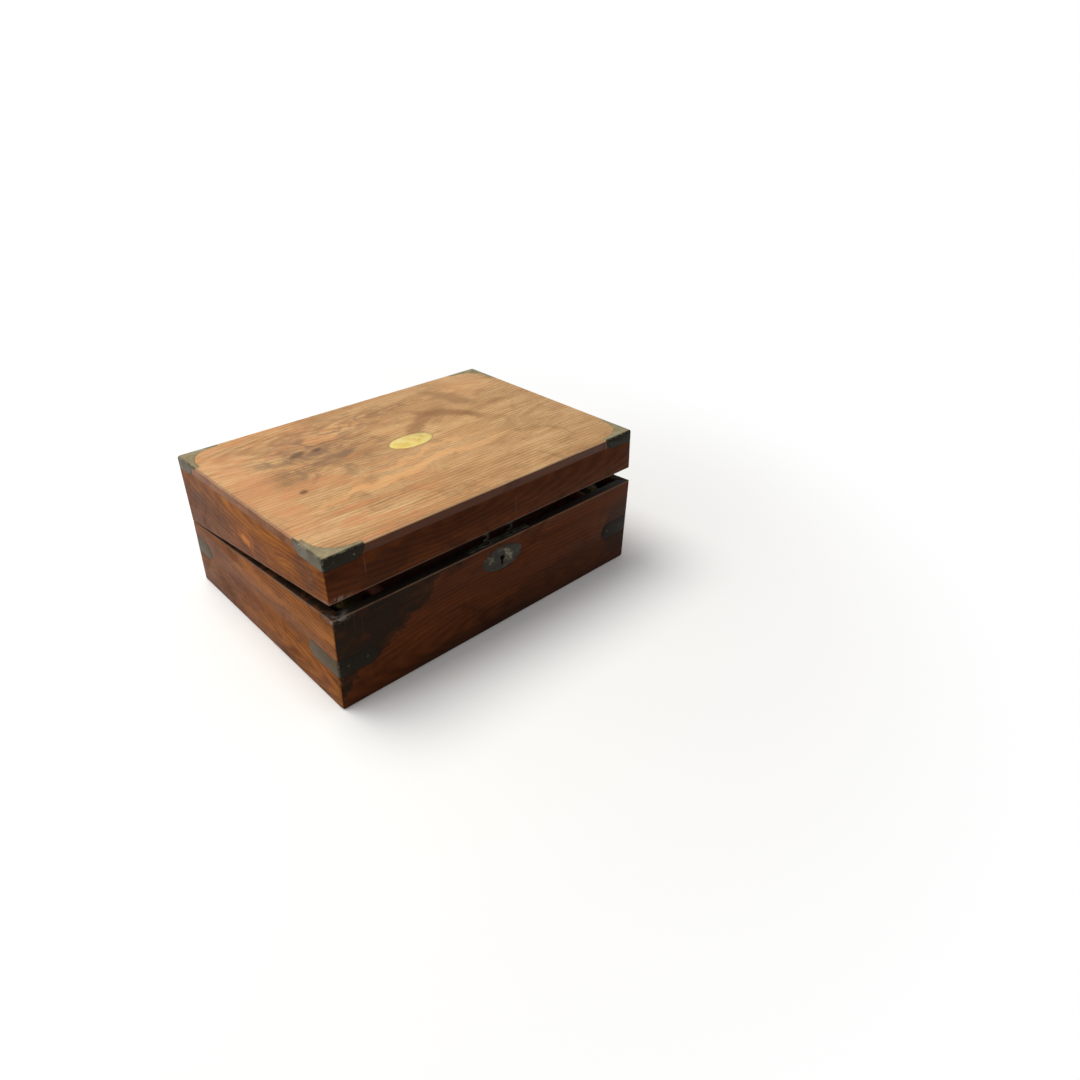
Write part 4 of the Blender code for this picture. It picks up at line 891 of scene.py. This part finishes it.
def drive_fasteners():
    up, down = (0, 0, 1), (0, 0, -1)
    trio = ((-0.72, 0), (0, 0), (0.72, 0))
    pair = ((-0.62, 0), (0.62, 0))
    base, lid, base_flap, lid_flap = [], [], [], []
    for side in ("left", "right"):
        base += heads_on("hinge_base_leaf_" + side, up, trio, 0.0017)
        lid += heads_on("hinge_lid_leaf_" + side, down, trio, 0.0017)
        base += heads_on("base_flap_fixed_leaf_" + side, up, pair, 0.0013)
        lid += heads_on("lid_flap_fixed_leaf_" + side, down, pair, 0.0013)
        base_flap += heads_on("base_flap_moving_leaf_" + side, up, pair, 0.0013)
        lid_flap += heads_on("lid_flap_moving_leaf_" + side, down, pair, 0.0013)
    base += heads_on("lock_plate", up, ((-0.93, 0), (0.93, 0)), 0.0016)
    lid += heads_on("link_plate", down, ((-0.88, 0), (0.88, 0)), 0.0016)
    base += heads_on("escutcheon", (0, -1, 0), ((-0.86, 0), (0.86, 0)), 0.0007, False)
    pins = ((-0.55, 0), (0.45, 0))
    for end, across in (("left", (-1, 0, 0)), ("right", (1, 0, 0))):
        for face, outward in (("front", (0, -1, 0)), ("back", (0, 1, 0))):
            corner = face + "_" + end
            for toward in (across, outward):
                base += heads_on("base_strap_" + corner, toward, pins, 0.0010, False)
                lid += heads_on("lid_corner_" + corner, toward, pins, 0.0009, False)
    return {"base": base, "lid": lid, "base_flap": base_flap, "lid_flap": lid_flap}


def dress_fasteners():
    for body, heads in drive_fasteners().items():
        place = lid_frame() if body.startswith("lid") else IN_PLACE
        tones = ((34, 29, 18), (62, 54, 34), (96, 86, 56))
        material = paint_old_brass("brass_heads_" + body, place, tones, (150, 136, 92), 0.6)
        fasten(body, heads, fastener_tree(material))


# Room, light and camera
def lay_floor():
    """Pale floor that keeps the shadow near the box and is plain white further off."""
    material = bpy.data.materials.new("pale_floor")
    material.use_nodes = True
    nodes = material.node_tree.nodes
    links = material.node_tree.links
    shader = nodes["Principled BSDF"]
    shader.inputs["Base Color"].default_value = (0.93, 0.93, 0.93, 1)
    shader.inputs["Roughness"].default_value = 0.9
    white = nodes.new("ShaderNodeEmission")
    white.inputs["Strength"].default_value = 1
    away = nodes.new("ShaderNodeVectorMath")
    away.operation = "LENGTH"
    links.new(nodes.new("ShaderNodeTexCoord").outputs["Object"], away.inputs[0])
    fade = nodes.new("ShaderNodeMapRange")
    fade.interpolation_type = "SMOOTHSTEP"
    fade.inputs["From Min"].default_value = 0.28
    fade.inputs["From Max"].default_value = 0.62
    links.new(away.outputs["Value"], fade.inputs["Value"])
    path = nodes.new("ShaderNodeLightPath")
    seen = nodes.new("ShaderNodeMath")
    seen.operation = "MULTIPLY"
    links.new(path.outputs["Is Camera Ray"], seen.inputs[0])
    links.new(fade.outputs["Result"], seen.inputs[1])
    mix = nodes.new("ShaderNodeMixShader")
    links.new(seen.outputs[0], mix.inputs[0])
    links.new(shader.outputs[0], mix.inputs[1])
    links.new(white.outputs[0], mix.inputs[2])
    links.new(mix.outputs[0], nodes["Material Output"].inputs[0])
    bm = bmesh.new()
    bmesh.ops.create_grid(bm, x_segments=1, y_segments=1, size=6)
    mesh = bpy.data.meshes.new("floor")
    bm.to_mesh(mesh)
    bm.free()
    mesh.materials.append(material)
    floor = bpy.data.objects.new("floor", mesh)
    bpy.context.scene.collection.objects.link(floor)


def lamp(name, place, target, size, power, colour=(1, 1, 1)):
    light = bpy.data.lights.new(name, "AREA")
    light.shape = "DISK"
    light.size = size
    light.energy = power
    light.color = colour
    holder = bpy.data.objects.new(name, light)
    bpy.context.scene.collection.objects.link(holder)
    holder.location = place
    aim = Vector(target) - Vector(place)
    holder.rotation_euler = aim.to_track_quat("-Z", "Y").to_euler()


def light_room():
    world = bpy.data.worlds.new("room")
    bpy.context.scene.world = world
    world.use_nodes = True
    nodes = world.node_tree.nodes
    links = world.node_tree.links
    nodes.clear()
    path = nodes.new("ShaderNodeLightPath")
    seen = nodes.new("ShaderNodeMath")
    seen.operation = "MAXIMUM"
    links.new(path.outputs["Is Camera Ray"], seen.inputs[0])
    links.new(path.outputs["Is Transmission Ray"], seen.inputs[1])
    ambient = nodes.new("ShaderNodeBackground")
    ambient.inputs["Color"].default_value = (1.0, 0.99, 0.97, 1)
    ambient.inputs["Strength"].default_value = 0.42
    white = nodes.new("ShaderNodeBackground")
    white.inputs["Color"].default_value = (1, 1, 1, 1)
    white.inputs["Strength"].default_value = 1
    mix = nodes.new("ShaderNodeMixShader")
    links.new(seen.outputs[0], mix.inputs[0])
    links.new(ambient.outputs[0], mix.inputs[1])
    links.new(white.outputs[0], mix.inputs[2])
    links.new(mix.outputs[0], nodes.new("ShaderNodeOutputWorld").inputs[0])
    lamp("overhead", (-0.4, 0.6, 1.9), (0, 0, 0), 1.2, 30, (1.0, 0.99, 0.96))
    lamp("window_left", (-1.9, 0.3, 0.8), (0, 0, 0.05), 1.0, 10, (1.0, 0.98, 0.94))
    lamp("front_fill", (0.4, -1.9, 0.8), (0, 0, 0.05), 1.4, 1.5)


def set_camera():
    """Camera fitted to the box's corners in the photograph."""
    turn = math.radians(-48.183457)
    rise = math.radians(32.586208)
    roll = math.radians(4.107720)
    level = math.cos(rise)
    back = Vector((math.sin(turn) * level, -math.cos(turn) * level, math.sin(rise)))
    right = Vector((0, 0, 1)).cross(back).normalized()
    up = back.cross(right)
    right, up = (
        right * math.cos(roll) + up * math.sin(roll), up * math.cos(roll) - right * math.sin(roll))
    matrix = Matrix((right, up, back)).transposed().to_4x4()
    matrix.translation = (-0.418153, -0.596554, 0.513330)
    camera = bpy.data.cameras.new("camera")
    camera.sensor_width = 36
    camera.lens = 27.638
    camera.shift_x = -0.04031
    camera.shift_y = -0.00974
    holder = bpy.data.objects.new("camera", camera)
    bpy.context.scene.collection.objects.link(holder)
    holder.matrix_world = matrix
    bpy.context.scene.camera = holder


set_camera()
dress_wood()
dress_flaps()
dress_brass()
dress_bottles()
dress_fasteners()
lay_floor()
light_room()
bpy.context.scene.view_settings.view_transform = "Standard"
